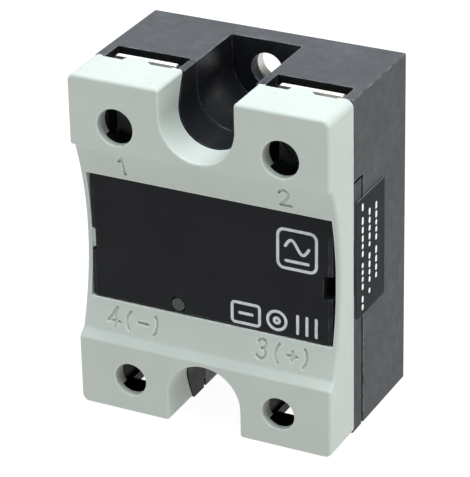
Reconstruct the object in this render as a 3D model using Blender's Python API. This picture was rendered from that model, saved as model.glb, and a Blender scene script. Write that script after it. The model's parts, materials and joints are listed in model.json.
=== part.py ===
"""Panel-mount solid state relay: a flat block with a metal back plate, four screw
terminals and a clip-on terminal cover.

It stands on its control end: X is the width, Z the height, and the front faces -Y.
All sizes are in millimetres. A depth is measured from the cover's front face towards
the back plate, and a range is a (low, high) pair.
"""
import math
from collections import namedtuple

import bmesh
import bpy
from mathutils import Matrix, Vector

MM = 0.001
BEYOND = 1.0        # how far a cutter runs past the face that it opens

# Overall size
WIDTH = 44.8
HEIGHT = 58.2
DEPTH = 29.2
MID_Z = HEIGHT / 2
CORNER_R = 1.3
FIT_GAP = 0.25

# Notches and holes for the two mounting screws, on the centre line
UPPER_NOTCH_Z = 53.4
LOWER_NOTCH_Z = 4.8
COVER_NOTCH_HALF = 6.4
HOUSING_NOTCH_HALF = 6.2
NOTCH_FLOOR = 24.8
MOUNT_HOLE_R = 2.78
UPPER_HOLE_Z = 53.0
LOWER_HOLE_Z = 5.3

# Clip-on cover
COVER_HALF = WIDTH / 2
COVER_REAR = 8.6
COVER_END_WALL = 0.9
COVER_SIDE_WALL = 1.0
COVER_NOTCH_WALL = 1.1
COVER_FRONT_WALL = 1.3
FRAME_ARC_R = 49.0
FRAME_DEEPEST = 4.1
LOWER_BLOCK_TOP = 12.0
LOWER_FRAME_EDGE = 13.2
UPPER_FRAME_EDGE = 45.7
UPPER_BLOCK_BOTTOM = 46.3
LEDGE_INSET = 0.8
WINDOW_HALF = 21.4
WINDOW_Z = (18.35, 40.3)
POWER_HOLE_R = 3.2
CONTROL_HOLE_R = 2.9
REAR_TAB = (4.3, 7.9)
REAR_TAB_LENGTH = 1.1
REAR_NOTCHES = ((0.2, 4.0), (8.2, 12.2))
REAR_NOTCH_LENGTH = 0.4
REAR_NOTCH_HEIGHT = 1.5
CLIP_Z = (26.6, 30.0)
CLIP_REACH = 0.5
LEFT_CLIP_DEPTH = (4.2, 6.0)
RIGHT_CLIP_DEPTH = (6.4, 7.6)

# Housing: a lid in front of a base
HOUSING_HALF = 22.2
HOUSING_TOP = 58.0
HOUSING_BACK = 29.0
HOUSING_WALL = 1.5
NOTCH_WALL = 1.3
LID_FRONT = 8.75
LID_REAR = 12.6
LID_TOP = 43.9
BASE_FRONT = 12.95
EAR_BOTTOM = 44.2
EAR_FRONT = 8.95
PLATEAU_HALF = 21.15
PLATEAU_FRONT = 5.3
PLATEAU_BOTTOM = 13.0
PANEL_ARC_R = 120.0
PANEL_ARC_Z = 33.0
PANEL_DEEPEST = 4.35
LID_HOLLOW_HALF = 19.7
LID_HOLLOW_FRONT = 6.8
LID_HOLLOW_Z = (14.5, 42.4)
CLIP_NOTCH_REACH = (1.2, 1.7)
PRY_SLOT_Z = (24.4, 34.3)
PRY_SLOT_DEPTH = (8.65, 9.55)
PRY_SLOT_CUT = 0.8
BAY_X = (7.5, 20.4)
BAY_FLOOR = 13.3
BAY_BOTTOM = 50.0
WELL_X = (8.95, 17.6)
WELL_Z = (1.7, 10.9)
TOWER_WALL = 1.2
TOWER_FRONT = 2.2
TOWER_Z = (1.15, 11.6)
WIRE_SLOT_X = (9.45, 16.9)
WIRE_SLOT_DEPTH = (9.0, 13.2)
WIRE_SLOT_TOP = 5.0
REBATE_WALL = 1.1
PLATE_FRONT = 26.95
PLATE_GAP = 0.2
PLATE_CORNER_R = 0.8
LABEL_DEPTH = (10.0, 20.5)
LABEL_Z = (19.9, 40.4)
LABEL_X = (22.25, 22.4)

# Screw terminals. The screw's shank runs through the clamp plate and the current bar
# into a square nut, which a block in the base holds.
Terminal = namedtuple("Terminal", [
    "x", "z", "bore_r", "head_r", "head_depth", "shank_r", "tip", "slot",
    "clamp_x", "clamp_depth", "clamp_z", "nut_half", "nut_depth",
    "block_x", "block_depth", "block_z", "block_bore_r"])
POWER = Terminal(
    x=14.2, z=50.4, bore_r=2.75, head_r=4.5, head_depth=(8.5, 10.55), shank_r=2.4, tip=19.5, slot=1.2,
    clamp_x=(8.8, 19.8), clamp_depth=(10.75, 11.75), clamp_z=(44.8, 57.5),
    nut_half=4.0, nut_depth=(14.6, 18.5),
    block_x=(6.9, 22.0), block_depth=(14.45, 22.5), block_z=(45.0, 58.0), block_bore_r=2.8)
CONTROL = Terminal(
    x=13.2, z=6.0, bore_r=1.7, head_r=2.8, head_depth=(8.9, 11.0), shank_r=1.4, tip=18.0, slot=0.8,
    clamp_x=(9.8, 16.6), clamp_depth=(11.2, 12.0), clamp_z=(2.2, 9.8),
    nut_half=2.75, nut_depth=(14.3, 16.7),
    block_x=(8.6, 17.8), block_depth=(14.15, 20.0), block_z=(0.5, 11.4), block_bore_r=1.75)
NUT_PLAY = 0.2

BUSBAR_HALF = 5.8
BUSBAR_LEG_HALF = 3.6
BUSBAR_THICK = 1.0
BUSBAR_TOP = 56.3
BUSBAR_LEG_Z = 44.2
BUSBAR_FOOT = 25.25
BUSBAR_FOOT_Z = 36.5
STRIP_HALF = 3.0
STRIP_THICK = 0.8
STRIP_BOTTOM = 2.0
STRIP_LEG_Z = 14.9
STRIP_FOOT = 15.05

# Power stage on the back plate
CERAMIC_HALF = 17.5
CERAMIC_DEPTH = (26.05, 26.7)
CERAMIC_Z = (17.5, 41.8)
PAD_DEPTH = (25.5, 25.8)
PAD_X = (0.8, 17.0)
PAD_Z = (24.2, 41.3)
GATE_PAD_HALF = 7.0
GATE_PAD_Z = (18.2, 23.2)
DIE_X = 7.0
DIE_HALF = 3.75
DIE_DEPTH = (24.85, 25.25)
DIE_Z = (26.2, 33.7)
CLIP_THICK = 0.6
CLIP_SEAT = 24.6
CLIP_BRIDGE = 23.9
CLIP_FOOT = 25.3
CLIP_BAND = 1.8
CATHODE_CLIP_Z = {"left": 27.3, "right": 30.9}
GATE_PIN_X = 9.8
GATE_PIN_Z = {"left": 32.4, "right": 27.6}
GATE_PIN_R = 0.45

# Control board and the parts on its front
BOARD_HALF = 19.4
BOARD_DEPTH = (15.3, 16.5)
BOARD_Z = (13.6, 42.6)
PART_REAR = 15.1
LED_X = -5.7
LED_Z = 19.9
LIGHT_PIPE_R = 1.15
LIGHT_PIPE_REAR = 13.9
BoardPart = namedtuple("BoardPart", ["name", "x", "z", "height", "material"])
BOARD_PARTS = (
    BoardPart("opto_coupler", (-4.5, 4.5), (25.0, 31.6), 3.6, "package"),
    BoardPart("regulator_transistor", (3.4, 9.9), (17.6, 21.2), 1.7, "package"),
    BoardPart("status_led", (LED_X - 0.9, LED_X + 0.9), (LED_Z - 0.7, LED_Z + 0.7), 0.9, "lens"),
)
RESISTOR_X = (-16.0, -12.5, 12.5)
RESISTOR_Z = (24.0, 30.4)
RESISTOR_R = 1.3
VARISTOR_X = 11.2
VARISTOR_Z = 37.0
VARISTOR_R = 5.0
VARISTOR_DEPTH = (11.7, 14.9)

# Facets of round shapes
ARC_STEPS = 16
CORNER_STEPS = 4
ROUND_STEPS = 28
SMALL_STEPS = 20
TINY_STEPS = 14

SIDES = (("left", -1), ("right", 1))


# ---------------------------------------------------------------- outlines

def arc(cx, cz, radius, start, end, steps):
    """Points on an arc from start to end degrees, both included."""
    points = []
    for i in range(steps + 1):
        angle = math.radians(start + (end - start) * i / steps)
        points.append((cx + radius * math.cos(angle), cz + radius * math.sin(angle)))
    return points


def circle(cx, cz, radius, steps=ROUND_STEPS):
    return arc(cx, cz, radius, 0, 360, steps)[:-1]


def rounded_rect(half, z_range, radius):
    x, (low, high) = half - radius, z_range
    return (arc(x, high - radius, radius, 0, 90, CORNER_STEPS)
            + arc(-x, high - radius, radius, 90, 180, CORNER_STEPS)
            + arc(-x, low + radius, radius, 180, 270, CORNER_STEPS)
            + arc(x, low + radius, radius, 270, 360, CORNER_STEPS))


def u_outline(half, centre_z, open_z):
    """A U open towards open_z, with a half-round end about centre_z."""
    if open_z > centre_z:
        return [(half, open_z), (-half, open_z)] + arc(0, centre_z, half, 180, 360, ARC_STEPS)
    return [(-half, open_z), (half, open_z)] + arc(0, centre_z, half, 0, 180, ARC_STEPS)


def frame_depth(z):
    """Depth of the cover's hollowed middle face at height z."""
    return FRAME_DEEPEST - (FRAME_ARC_R - math.sqrt(FRAME_ARC_R ** 2 - (z - MID_Z) ** 2))


def panel_depth(z):
    """Depth of the lid's label panel at height z."""
    return PANEL_DEEPEST - (PANEL_ARC_R - math.sqrt(PANEL_ARC_R ** 2 - (z - PANEL_ARC_Z) ** 2))


def face_curve(depth_at, low, high, offset=0.0, steps=12):
    """(depth, z) points up a curved face, moved back by offset."""
    heights = [low + (high - low) * i / steps for i in range(steps + 1)]
    return [(depth_at(z) + offset, z) for z in heights]


def mirrored(x_range, sign):
    """An x range on the right side, or its mirror image on the left."""
    return tuple(sorted(sign * x for x in x_range))


def about(centre, half):
    return centre - half, centre + half


# ---------------------------------------------------------------- solids

def point(x, depth, z):
    return Vector((x, depth - DEPTH / 2, z)) * MM


def skin(name, rings):
    """A closed mesh object through equal rings of points."""
    bm = bmesh.new()
    loops = [[bm.verts.new(p) for p in ring] for ring in rings]
    for first, second in zip(loops, loops[1:]):
        for i in range(len(first)):
            j = (i + 1) % len(first)
            bm.faces.new((first[i], first[j], second[j], second[i]))
    bm.faces.new(loops[0])
    bm.faces.new(loops[-1])
    bmesh.ops.recalc_face_normals(bm, faces=bm.faces)
    mesh = bpy.data.meshes.new(name)
    bm.to_mesh(mesh)
    bm.free()
    obj = bpy.data.objects.new(name, mesh)
    bpy.context.collection.objects.link(obj)
    return obj


def prism(name, outline, depth_range):
    """An (x, z) outline extruded over a range of depths."""
    return skin(name, [[point(x, d, z) for x, z in outline] for d in depth_range])


def slab(name, profile, x_range):
    """A (depth, z) profile extruded across the width."""
    return skin(name, [[point(x, d, z) for d, z in profile] for x in x_range])


def strap(name, profile, z_range):
    """An (x, depth) profile extruded upwards."""
    return skin(name, [[point(x, d, z) for x, d in profile] for z in z_range])


def box(name, x_range, depth_range, z_range):
    (x0, x1), (z0, z1) = x_range, z_range
    return prism(name, [(x0, z0), (x1, z0), (x1, z1), (x0, z1)], depth_range)


def turned(name, profile, cx, cz, steps=ROUND_STEPS):
    """A (radius, depth) profile turned about the depth axis through (cx, cz).

    A flat disc closes each end.
    """
    rings = [[point(x, d, z) for x, z in circle(cx, cz, r, steps)] for r, d in profile]
    return skin(name, rings)


def combine(base, other, operation):
    """Boolean of two solids; the second one is used up."""
    modifier = base.modifiers.new(operation.title(), "BOOLEAN")
    modifier.operation = operation
    modifier.solver = "EXACT"
    modifier.object = other
    depsgraph = bpy.context.evaluated_depsgraph_get()
    result = bpy.data.meshes.new_from_object(base.evaluated_get(depsgraph))
    base.modifiers.clear()
    base.data = result
    bpy.data.objects.remove(other)


def cut(base, *cutters):
    for cutter in cutters:
        combine(base, cutter, "DIFFERENCE")


def join(base, *others):
    for other in others:
        combine(base, other, "UNION")


# ---------------------------------------------------------------- finish

def make_material(name, colour, roughness, metallic=0.0):
    material = bpy.data.materials.new(name)
    material.use_nodes = True
    shader = material.node_tree.nodes["Principled BSDF"]
    shader.inputs["Base Color"].default_value = (*colour, 1.0)
    shader.inputs["Roughness"].default_value = roughness
    shader.inputs["Metallic"].default_value = metallic
    return material


def finish(obj, material, sharp_degrees=35.0):
    obj.data.materials.clear()
    obj.data.materials.append(material)
    obj.data.shade_smooth()
    obj.data.set_sharp_from_angle(angle=math.radians(sharp_degrees))


def set_origin(obj, x, depth, z, parent=None):
    """Puts the origin on a joint's axis, under an optional parent piece."""
    origin = point(x, depth, z)
    obj.data.transform(Matrix.Translation(-origin))
    obj.location = origin
    if parent is not None:
        obj.parent = parent
        obj.location = origin - parent.location


# ---------------------------------------------------------------- cover

def cover_front_cutter():
    """What is missing in front of the hollowed middle of the cover."""
    low_slope = (LOWER_FRAME_EDGE - LOWER_BLOCK_TOP) / frame_depth(LOWER_FRAME_EDGE)
    high_slope = (UPPER_BLOCK_BOTTOM - UPPER_FRAME_EDGE) / frame_depth(UPPER_FRAME_EDGE)
    profile = [(-BEYOND, LOWER_BLOCK_TOP - BEYOND * low_slope)]
    profile += face_curve(frame_depth, LOWER_FRAME_EDGE, UPPER_FRAME_EDGE)
    profile += [(-BEYOND, UPPER_BLOCK_BOTTOM + BEYOND * high_slope)]
    return slab("front_cutter", profile, about(0, COVER_HALF + BEYOND))


def cover_hollow():
    """The space behind the cover's face, which leaves a wall round both notches."""
    rear = COVER_REAR + BEYOND
    profile = [(rear, COVER_END_WALL), (COVER_FRONT_WALL, COVER_END_WALL)]
    profile += [(COVER_FRONT_WALL, LOWER_BLOCK_TOP - LEDGE_INSET)]
    profile += face_curve(frame_depth, LOWER_FRAME_EDGE - LEDGE_INSET, UPPER_FRAME_EDGE + LEDGE_INSET,
                          COVER_FRONT_WALL)
    profile += [(COVER_FRONT_WALL, UPPER_BLOCK_BOTTOM + LEDGE_INSET)]
    profile += [(COVER_FRONT_WALL, HEIGHT - COVER_END_WALL), (rear, HEIGHT - COVER_END_WALL)]
    hollow = slab("hollow", profile, about(0, COVER_HALF - COVER_SIDE_WALL))
    wall_half = COVER_NOTCH_HALF + COVER_NOTCH_WALL
    wall_depth = (0, rear + BEYOND)
    cut(hollow,
        prism("upper_wall", u_outline(wall_half, UPPER_NOTCH_Z, HEIGHT + BEYOND), wall_depth),
        prism("lower_wall", u_outline(wall_half, LOWER_NOTCH_Z, -BEYOND), wall_depth))
    return hollow


def shape_rear_edge(cover):
    """The stepped rear edge of the two upper blocks, over the wire slots."""
    for start in (-BAY_X[1], BAY_X[0]):
        tab_x = tuple(start + x for x in REAR_TAB)
        tab_depth = (COVER_REAR - BEYOND, COVER_REAR + REAR_TAB_LENGTH)
        join(cover, box("tab", tab_x, tab_depth, (HEIGHT - COVER_END_WALL, HEIGHT)))
        for notch in REAR_NOTCHES:
            notch_x = tuple(start + x for x in notch)
            notch_depth = (COVER_REAR - REAR_NOTCH_LENGTH, COVER_REAR + BEYOND)
            cut(cover, box("notch", notch_x, notch_depth, (HEIGHT - REAR_NOTCH_HEIGHT, HEIGHT + BEYOND)))


def build_cover(material):
    cover = prism("cover", rounded_rect(COVER_HALF, (0, HEIGHT), CORNER_R), (0, COVER_REAR))
    through = (-BEYOND, COVER_REAR + BEYOND)
    cut(cover,
        cover_front_cutter(),
        cover_hollow(),
        prism("upper_notch", u_outline(COVER_NOTCH_HALF, UPPER_NOTCH_Z, HEIGHT + BEYOND), through),
        prism("lower_notch", u_outline(COVER_NOTCH_HALF, LOWER_NOTCH_Z, -BEYOND), through),
        box("window", about(0, WINDOW_HALF), through, WINDOW_Z))
    front_wall = (-BEYOND, COVER_FRONT_WALL + BEYOND)
    for _, sign in SIDES:
        cut(cover,
            prism("power_hole", circle(sign * POWER.x, POWER.z, POWER_HOLE_R), front_wall),
            prism("control_hole", circle(sign * CONTROL.x, CONTROL.z, CONTROL_HOLE_R), front_wall))
    shape_rear_edge(cover)
    for (_, sign), clip_depth in zip(SIDES, (LEFT_CLIP_DEPTH, RIGHT_CLIP_DEPTH)):
        clip_x = mirrored((WINDOW_HALF - CLIP_REACH, WINDOW_HALF + CLIP_REACH), sign)
        join(cover, box("clip", clip_x, clip_depth, CLIP_Z))
    set_origin(cover, 0, COVER_REAR, MID_Z)
    finish(cover, material)


# ---------------------------------------------------------------- housing

def lid_outline():
    corner = HOUSING_HALF - CORNER_R
    return (arc(corner, CORNER_R, CORNER_R, 270, 360, CORNER_STEPS)
            + [(HOUSING_HALF, LID_TOP), (-HOUSING_HALF, LID_TOP)]
            + arc(-corner, CORNER_R, CORNER_R, 180, 270, CORNER_STEPS))


def panel_slab():
    """The raised label panel, which fills the cover's window."""
    low, high = WINDOW_Z[0] + FIT_GAP, WINDOW_Z[1] - FIT_GAP
    back = PLATEAU_FRONT + BEYOND
    profile = [(back, low)] + face_curve(panel_depth, low, high) + [(back, high)]
    return slab("panel", profile, about(0, PLATEAU_HALF))


def build_lid(material):
    """The front half of the housing."""
    lid = prism("housing_lid", lid_outline(), (LID_FRONT, LID_REAR))
    plateau_depth = (PLATEAU_FRONT, LID_FRONT + BEYOND)
    notch_wall_z = (LID_HOLLOW_Z[1] - BEYOND, HOUSING_TOP)
    join(lid,
         box("plateau", about(0, PLATEAU_HALF), plateau_depth, (PLATEAU_BOTTOM, LID_TOP)),
         panel_slab(),
         box("notch_wall", about(0, BAY_X[0]), (LID_FRONT, LID_REAR), notch_wall_z))
    for _, sign in SIDES:
        tower_x = mirrored((WELL_X[0] - TOWER_WALL, WELL_X[1] + TOWER_WALL), sign)
        join(lid, box("tower", tower_x, (TOWER_FRONT, LID_FRONT + BEYOND), TOWER_Z))
    through = (0, LID_REAR + BEYOND)
    hollow_depth = (LID_HOLLOW_FRONT, LID_REAR + BEYOND)
    cut(lid,
        prism("upper_notch", u_outline(HOUSING_NOTCH_HALF, UPPER_NOTCH_Z, HEIGHT + BEYOND), through),
        prism("lower_notch", u_outline(HOUSING_NOTCH_HALF, LOWER_NOTCH_Z, -BEYOND), through),
        box("hollow", about(0, LID_HOLLOW_HALF), hollow_depth, LID_HOLLOW_Z),
        prism("led_hole", circle(LED_X, LED_Z, LIGHT_PIPE_R + FIT_GAP, SMALL_STEPS), through))
    for (_, sign), reach in zip(SIDES, CLIP_NOTCH_REACH):
        clip_x = mirrored((WINDOW_HALF - reach, HOUSING_HALF + BEYOND), sign)
        clip_z = (CLIP_Z[0] - FIT_GAP, CLIP_Z[1] + FIT_GAP)
        pry_x = mirrored((HOUSING_HALF - PRY_SLOT_CUT, HOUSING_HALF + BEYOND), sign)
        slot_depth = (WIRE_SLOT_DEPTH[0], LID_REAR + BEYOND)
        cut(lid,
            box("well", mirrored(WELL_X, sign), through, WELL_Z),
            box("wire_slot", mirrored(WIRE_SLOT_X, sign), slot_depth, (-BEYOND, WIRE_SLOT_TOP)),
            box("clip_notch", clip_x, (0, LID_FRONT - 2 * FIT_GAP), clip_z),
            box("pry_slot", pry_x, PRY_SLOT_DEPTH, PRY_SLOT_Z))
    finish(lid, material)


def terminal_block(terminal, sign):
    """A block inside the base, with a pocket for the nut and a bore behind it."""
    front, rear = terminal.block_depth
    block = box("block", mirrored(terminal.block_x, sign), terminal.block_depth, terminal.block_z)
    pocket_half = terminal.nut_half + NUT_PLAY
    pocket_depth = (front - BEYOND, terminal.nut_depth[1] + NUT_PLAY)
    axis_x = sign * terminal.x
    bore = circle(axis_x, terminal.z, terminal.block_bore_r, SMALL_STEPS)
    cut(block,
        box("pocket", about(axis_x, pocket_half), pocket_depth, about(terminal.z, pocket_half)),
        prism("bore", bore, (front, rear + BEYOND)))
    return block


def base_hollow():
    """The space in the base, which leaves the notch walls and the terminal blocks."""
    depth_range = (BASE_FRONT - BEYOND, PLATE_FRONT - FIT_GAP)
    z_range = (HOUSING_WALL, HOUSING_TOP - HOUSING_WALL)
    hollow = box("hollow", about(0, HOUSING_HALF - HOUSING_WALL), depth_range, z_range)
    wall_half = HOUSING_NOTCH_HALF + NOTCH_WALL
    wall_depth = (0, DEPTH)
    cut(hollow,
        prism("upper_wall", u_outline(wall_half, UPPER_NOTCH_Z, HEIGHT + BEYOND), wall_depth),
        prism("lower_wall", u_outline(wall_half, LOWER_NOTCH_Z, -BEYOND), wall_depth))
    for _, sign in SIDES:
        cut(hollow, terminal_block(POWER, sign), terminal_block(CONTROL, sign))
    return hollow


def mount_hole_cutters():
    """Through the notch floors and the back plate: a round hole and an open slot."""
    depth_range = (NOTCH_FLOOR - BEYOND, DEPTH + BEYOND)
    return (prism("upper_hole", circle(0, UPPER_HOLE_Z, MOUNT_HOLE_R), depth_range),
            prism("lower_slot", u_outline(MOUNT_HOLE_R, LOWER_HOLE_Z, -BEYOND), depth_range))


def build_base(material):
    """The rear half of the housing: walls, notch pockets and terminal blocks."""
    outline = rounded_rect(HOUSING_HALF, (0, HOUSING_TOP), CORNER_R)
    base = prism("housing_base", outline, (EAR_FRONT, HOUSING_BACK))
    front_depth = (0, BASE_FRONT)
    notch_depth = (0, NOTCH_FLOOR)
    rebate_z = (REBATE_WALL, HOUSING_TOP - REBATE_WALL)
    rebate_depth = (PLATE_FRONT - FIT_GAP, DEPTH + BEYOND)
    cut(base,
        box("front", about(0, BAY_X[1]), front_depth, (-BEYOND, HEIGHT)),
        box("lid_seat", about(0, HOUSING_HALF + BEYOND), front_depth, (-BEYOND, EAR_BOTTOM)),
        base_hollow(),
        box("rebate", about(0, HOUSING_HALF - REBATE_WALL), rebate_depth, rebate_z),
        prism("upper_notch", u_outline(HOUSING_NOTCH_HALF, UPPER_NOTCH_Z, HEIGHT + BEYOND), notch_depth),
        prism("lower_notch", u_outline(HOUSING_NOTCH_HALF, LOWER_NOTCH_Z, -BEYOND), notch_depth),
        *mount_hole_cutters())
    for _, sign in SIDES:
        slot_depth = (0, WIRE_SLOT_DEPTH[1])
        cut(base,
            box("bay", mirrored(BAY_X, sign), (0, BAY_FLOOR), (BAY_BOTTOM, HEIGHT)),
            box("wire_slot", mirrored(WIRE_SLOT_X, sign), slot_depth, (-BEYOND, WIRE_SLOT_TOP)))
    finish(base, material)


def build_base_plate(material):
    edge = REBATE_WALL + PLATE_GAP
    outline = rounded_rect(HOUSING_HALF - edge, (edge, HOUSING_TOP - edge), PLATE_CORNER_R)
    plate = prism("base_plate", outline, (PLATE_FRONT, DEPTH))
    cut(plate, *mount_hole_cutters())
    finish(plate, material)


def build_light_pipe(material):
    """The clear peg that carries the status LED's light to the panel."""
    front = panel_depth(LED_Z)
    profile = [(0.6 * LIGHT_PIPE_R, front - 0.25), (LIGHT_PIPE_R, front + 0.05),
               (LIGHT_PIPE_R, LIGHT_PIPE_REAR)]
    finish(turned("led_light_pipe", profile, LED_X, LED_Z, SMALL_STEPS), material)


# ---------------------------------------------------------------- terminals

def bored(piece, terminal, axis_x):
    """Drills a piece for the terminal's screw."""
    drill_depth = (terminal.clamp_depth[0] - BEYOND, terminal.nut_depth[1] + BEYOND)
    cut(piece, prism("bore", circle(axis_x, terminal.z, terminal.bore_r, SMALL_STEPS), drill_depth))
    return piece


def build_screw(name, terminal, axis_x, clamp, material):
    """A pan-head screw with a combined slot and cross recess."""
    (front, seat), head_r, tip, slot = terminal.head_depth, terminal.head_r, terminal.tip, terminal.slot
    height = seat - front
    profile = [(0.68 * head_r, front), (0.93 * head_r, front + 0.25 * height),
               (head_r, front + 0.6 * height), (head_r, seat), (terminal.shank_r, seat),
               (terminal.shank_r, tip - slot / 2), (0.8 * terminal.shank_r, tip)]
    screw = turned(name, profile, axis_x, terminal.z)
    slot_depth = (front - BEYOND, front + 0.7 * slot)
    cross_depth = (front - BEYOND, front + slot)
    wide, narrow, wing = 2 * head_r, slot / 2, 0.55 * head_r
    cut(screw,
        box("slot", about(axis_x, wide), slot_depth, about(terminal.z, narrow)),
        box("cross", about(axis_x, narrow), cross_depth, about(terminal.z, wing)))
    set_origin(screw, axis_x, seat, terminal.z, clamp)
    finish(screw, material)


def build_terminal(kind, terminal, side, sign, materials):
    """The clamp plate, screw and nut of one terminal."""
    axis_x = sign * terminal.x
    clamp = box("%s_clamp_%s" % (kind, side), mirrored(terminal.clamp_x, sign),
                terminal.clamp_depth, terminal.clamp_z)
    bored(clamp, terminal, axis_x)
    set_origin(clamp, axis_x, terminal.clamp_depth[0], terminal.z)
    finish(clamp, materials["contact"])
    build_screw("%s_screw_%s" % (kind, side), terminal, axis_x, clamp, materials["screw"])
    nut = box("%s_nut_%s" % (kind, side), about(axis_x, terminal.nut_half),
              terminal.nut_depth, about(terminal.z, terminal.nut_half))
    finish(bored(nut, terminal, axis_x), materials["screw"])


def build_power_busbar(side, sign, material):
    """The bar from a power terminal down to its pad on the power stage."""
    axis_x = sign * POWER.x
    rear = BAY_FLOOR + BUSBAR_THICK
    leg_bottom = BUSBAR_LEG_Z - BUSBAR_THICK
    foot_front = BUSBAR_FOOT - BUSBAR_THICK
    profile = [(BAY_FLOOR, BUSBAR_TOP), (BAY_FLOOR, leg_bottom), (foot_front, leg_bottom),
               (foot_front, BUSBAR_FOOT_Z), (BUSBAR_FOOT, BUSBAR_FOOT_Z), (BUSBAR_FOOT, BUSBAR_LEG_Z),
               (rear, BUSBAR_LEG_Z), (rear, BUSBAR_TOP)]
    bar = slab("power_busbar_" + side, profile, about(axis_x, BUSBAR_HALF))
    trim_depth = (rear + FIT_GAP, BUSBAR_FOOT + BEYOND)
    trim_z = (BUSBAR_FOOT_Z - BEYOND, BUSBAR_LEG_Z + BEYOND)
    for _, edge in SIDES:
        trim = mirrored((BUSBAR_LEG_HALF, BUSBAR_HALF + BEYOND), edge)
        cut(bar, box("trim", tuple(axis_x + x for x in trim), trim_depth, trim_z))
    finish(bored(bar, POWER, axis_x), material)


def build_control_strip(side, sign, material):
    """The strip from a control terminal up to the board."""
    axis_x = sign * CONTROL.x
    front = WIRE_SLOT_DEPTH[1]
    rear = front + STRIP_THICK
    leg_bottom = STRIP_LEG_Z - STRIP_THICK
    profile = [(front, STRIP_BOTTOM), (front, STRIP_LEG_Z), (STRIP_FOOT, STRIP_LEG_Z),
               (STRIP_FOOT, leg_bottom), (rear, leg_bottom), (rear, STRIP_BOTTOM)]
    strip = slab("control_strip_" + side, profile, about(axis_x, STRIP_HALF))
    finish(bored(strip, CONTROL, axis_x), material)


# ---------------------------------------------------------------- electronics

def build_cathode_clip(side, sign, material):
    """The bent strip from one die's face over to the other die's pad."""
    die_far, die_near = DIE_X + 1.6, DIE_X - 2.4
    step, foot = -1.6, -2.4
    seat, bridge, thick = CLIP_SEAT, CLIP_BRIDGE, CLIP_THICK
    profile = [(die_far, seat), (die_near, seat), (die_near, bridge), (step, bridge), (step, CLIP_FOOT),
               (foot, CLIP_FOOT), (foot, bridge - thick), (die_near + thick, bridge - thick),
               (die_near + thick, seat - thick), (die_far, seat - thick)]
    low = CATHODE_CLIP_Z[side]
    clip = strap("cathode_clip_" + side, [(sign * x, d) for x, d in profile], (low, low + CLIP_BAND))
    finish(clip, material)


def build_power_stage(materials):
    """Ceramic substrate, copper pads, thyristor dies, clips and gate pins."""
    copper = materials["copper"]
    finish(box("ceramic_substrate", about(0, CERAMIC_HALF), CERAMIC_DEPTH, CERAMIC_Z), materials["ceramic"])
    finish(box("copper_pad_gate", about(0, GATE_PAD_HALF), PAD_DEPTH, GATE_PAD_Z), copper)
    pin_front, pin_rear = BOARD_DEPTH[1] + FIT_GAP, DIE_DEPTH[0] - FIT_GAP
    pin_profile = [(GATE_PIN_R, pin_front), (GATE_PIN_R, pin_rear - GATE_PIN_R), (GATE_PIN_R / 2, pin_rear)]
    for side, sign in SIDES:
        finish(box("copper_pad_" + side, mirrored(PAD_X, sign), PAD_DEPTH, PAD_Z), copper)
        die = box("thyristor_die_" + side, about(sign * DIE_X, DIE_HALF), DIE_DEPTH, DIE_Z)
        finish(die, materials["silicon"])
        build_cathode_clip(side, sign, copper)
        pin = turned("gate_pin_" + side, pin_profile, sign * GATE_PIN_X, GATE_PIN_Z[side], TINY_STEPS)
        finish(pin, materials["screw"])


def build_board(materials):
    """Printed circuit board with the isolation, input and protection parts."""
    finish(box("control_board", about(0, BOARD_HALF), BOARD_DEPTH, BOARD_Z), materials["board"])
    for part in BOARD_PARTS:
        body = box(part.name, part.x, (PART_REAR - part.height, PART_REAR), part.z)
        finish(body, materials[part.material])
    for number, x in enumerate(RESISTOR_X, start=1):
        outline = circle(x, PART_REAR - RESISTOR_R, RESISTOR_R, TINY_STEPS)
        finish(strap("resistor_%d" % number, outline, RESISTOR_Z), materials["resistor"])
    front, rear = VARISTOR_DEPTH
    rim = 0.4
    profile = [(VARISTOR_R - rim, front), (VARISTOR_R, front + rim),
               (VARISTOR_R, rear - rim), (VARISTOR_R - rim, rear)]
    finish(turned("varistor", profile, VARISTOR_X, VARISTOR_Z), materials["varistor"])


# ---------------------------------------------------------------- assembly

def make_materials():
    return {
        "cover": make_material("cover_plastic", (0.56, 0.59, 0.56), 0.5),
        "housing": make_material("housing_plastic", (0.045, 0.048, 0.05), 0.55),
        "plate": make_material("nickel_plate", (0.66, 0.65, 0.62), 0.3, 1.0),
        "contact": make_material("tinned_brass", (0.75, 0.73, 0.66), 0.3, 1.0),
        "screw": make_material("zinc_steel", (0.66, 0.67, 0.69), 0.35, 1.0),
        "lens": make_material("led_lens", (0.32, 0.38, 0.35), 0.25),
        "label": make_material("label_film", (0.02, 0.02, 0.022), 0.3),
        "ceramic": make_material("alumina", (0.86, 0.85, 0.8), 0.5),
        "copper": make_material("bare_copper", (0.72, 0.4, 0.26), 0.35, 1.0),
        "silicon": make_material("silicon", (0.2, 0.21, 0.25), 0.2, 0.6),
        "board": make_material("circuit_board", (0.03, 0.17, 0.07), 0.45),
        "package": make_material("moulded_package", (0.03, 0.03, 0.03), 0.5),
        "resistor": make_material("resistor_body", (0.5, 0.62, 0.66), 0.4),
        "varistor": make_material("varistor_coat", (0.05, 0.14, 0.4), 0.45),
    }


def main():
    for obj in list(bpy.data.objects):
        bpy.data.objects.remove(obj)
    materials = make_materials()
    build_cover(materials["cover"])
    build_lid(materials["housing"])
    build_base(materials["housing"])
    build_base_plate(materials["plate"])
    build_light_pipe(materials["lens"])
    finish(box("seal_label", LABEL_X, LABEL_DEPTH, LABEL_Z), materials["label"])
    for side, sign in SIDES:
        build_terminal("power", POWER, side, sign, materials)
        build_terminal("control", CONTROL, side, sign, materials)
        build_power_busbar(side, sign, materials["contact"])
        build_control_strip(side, sign, materials["contact"])
    build_power_stage(materials)
    build_board(materials)


main()
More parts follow.
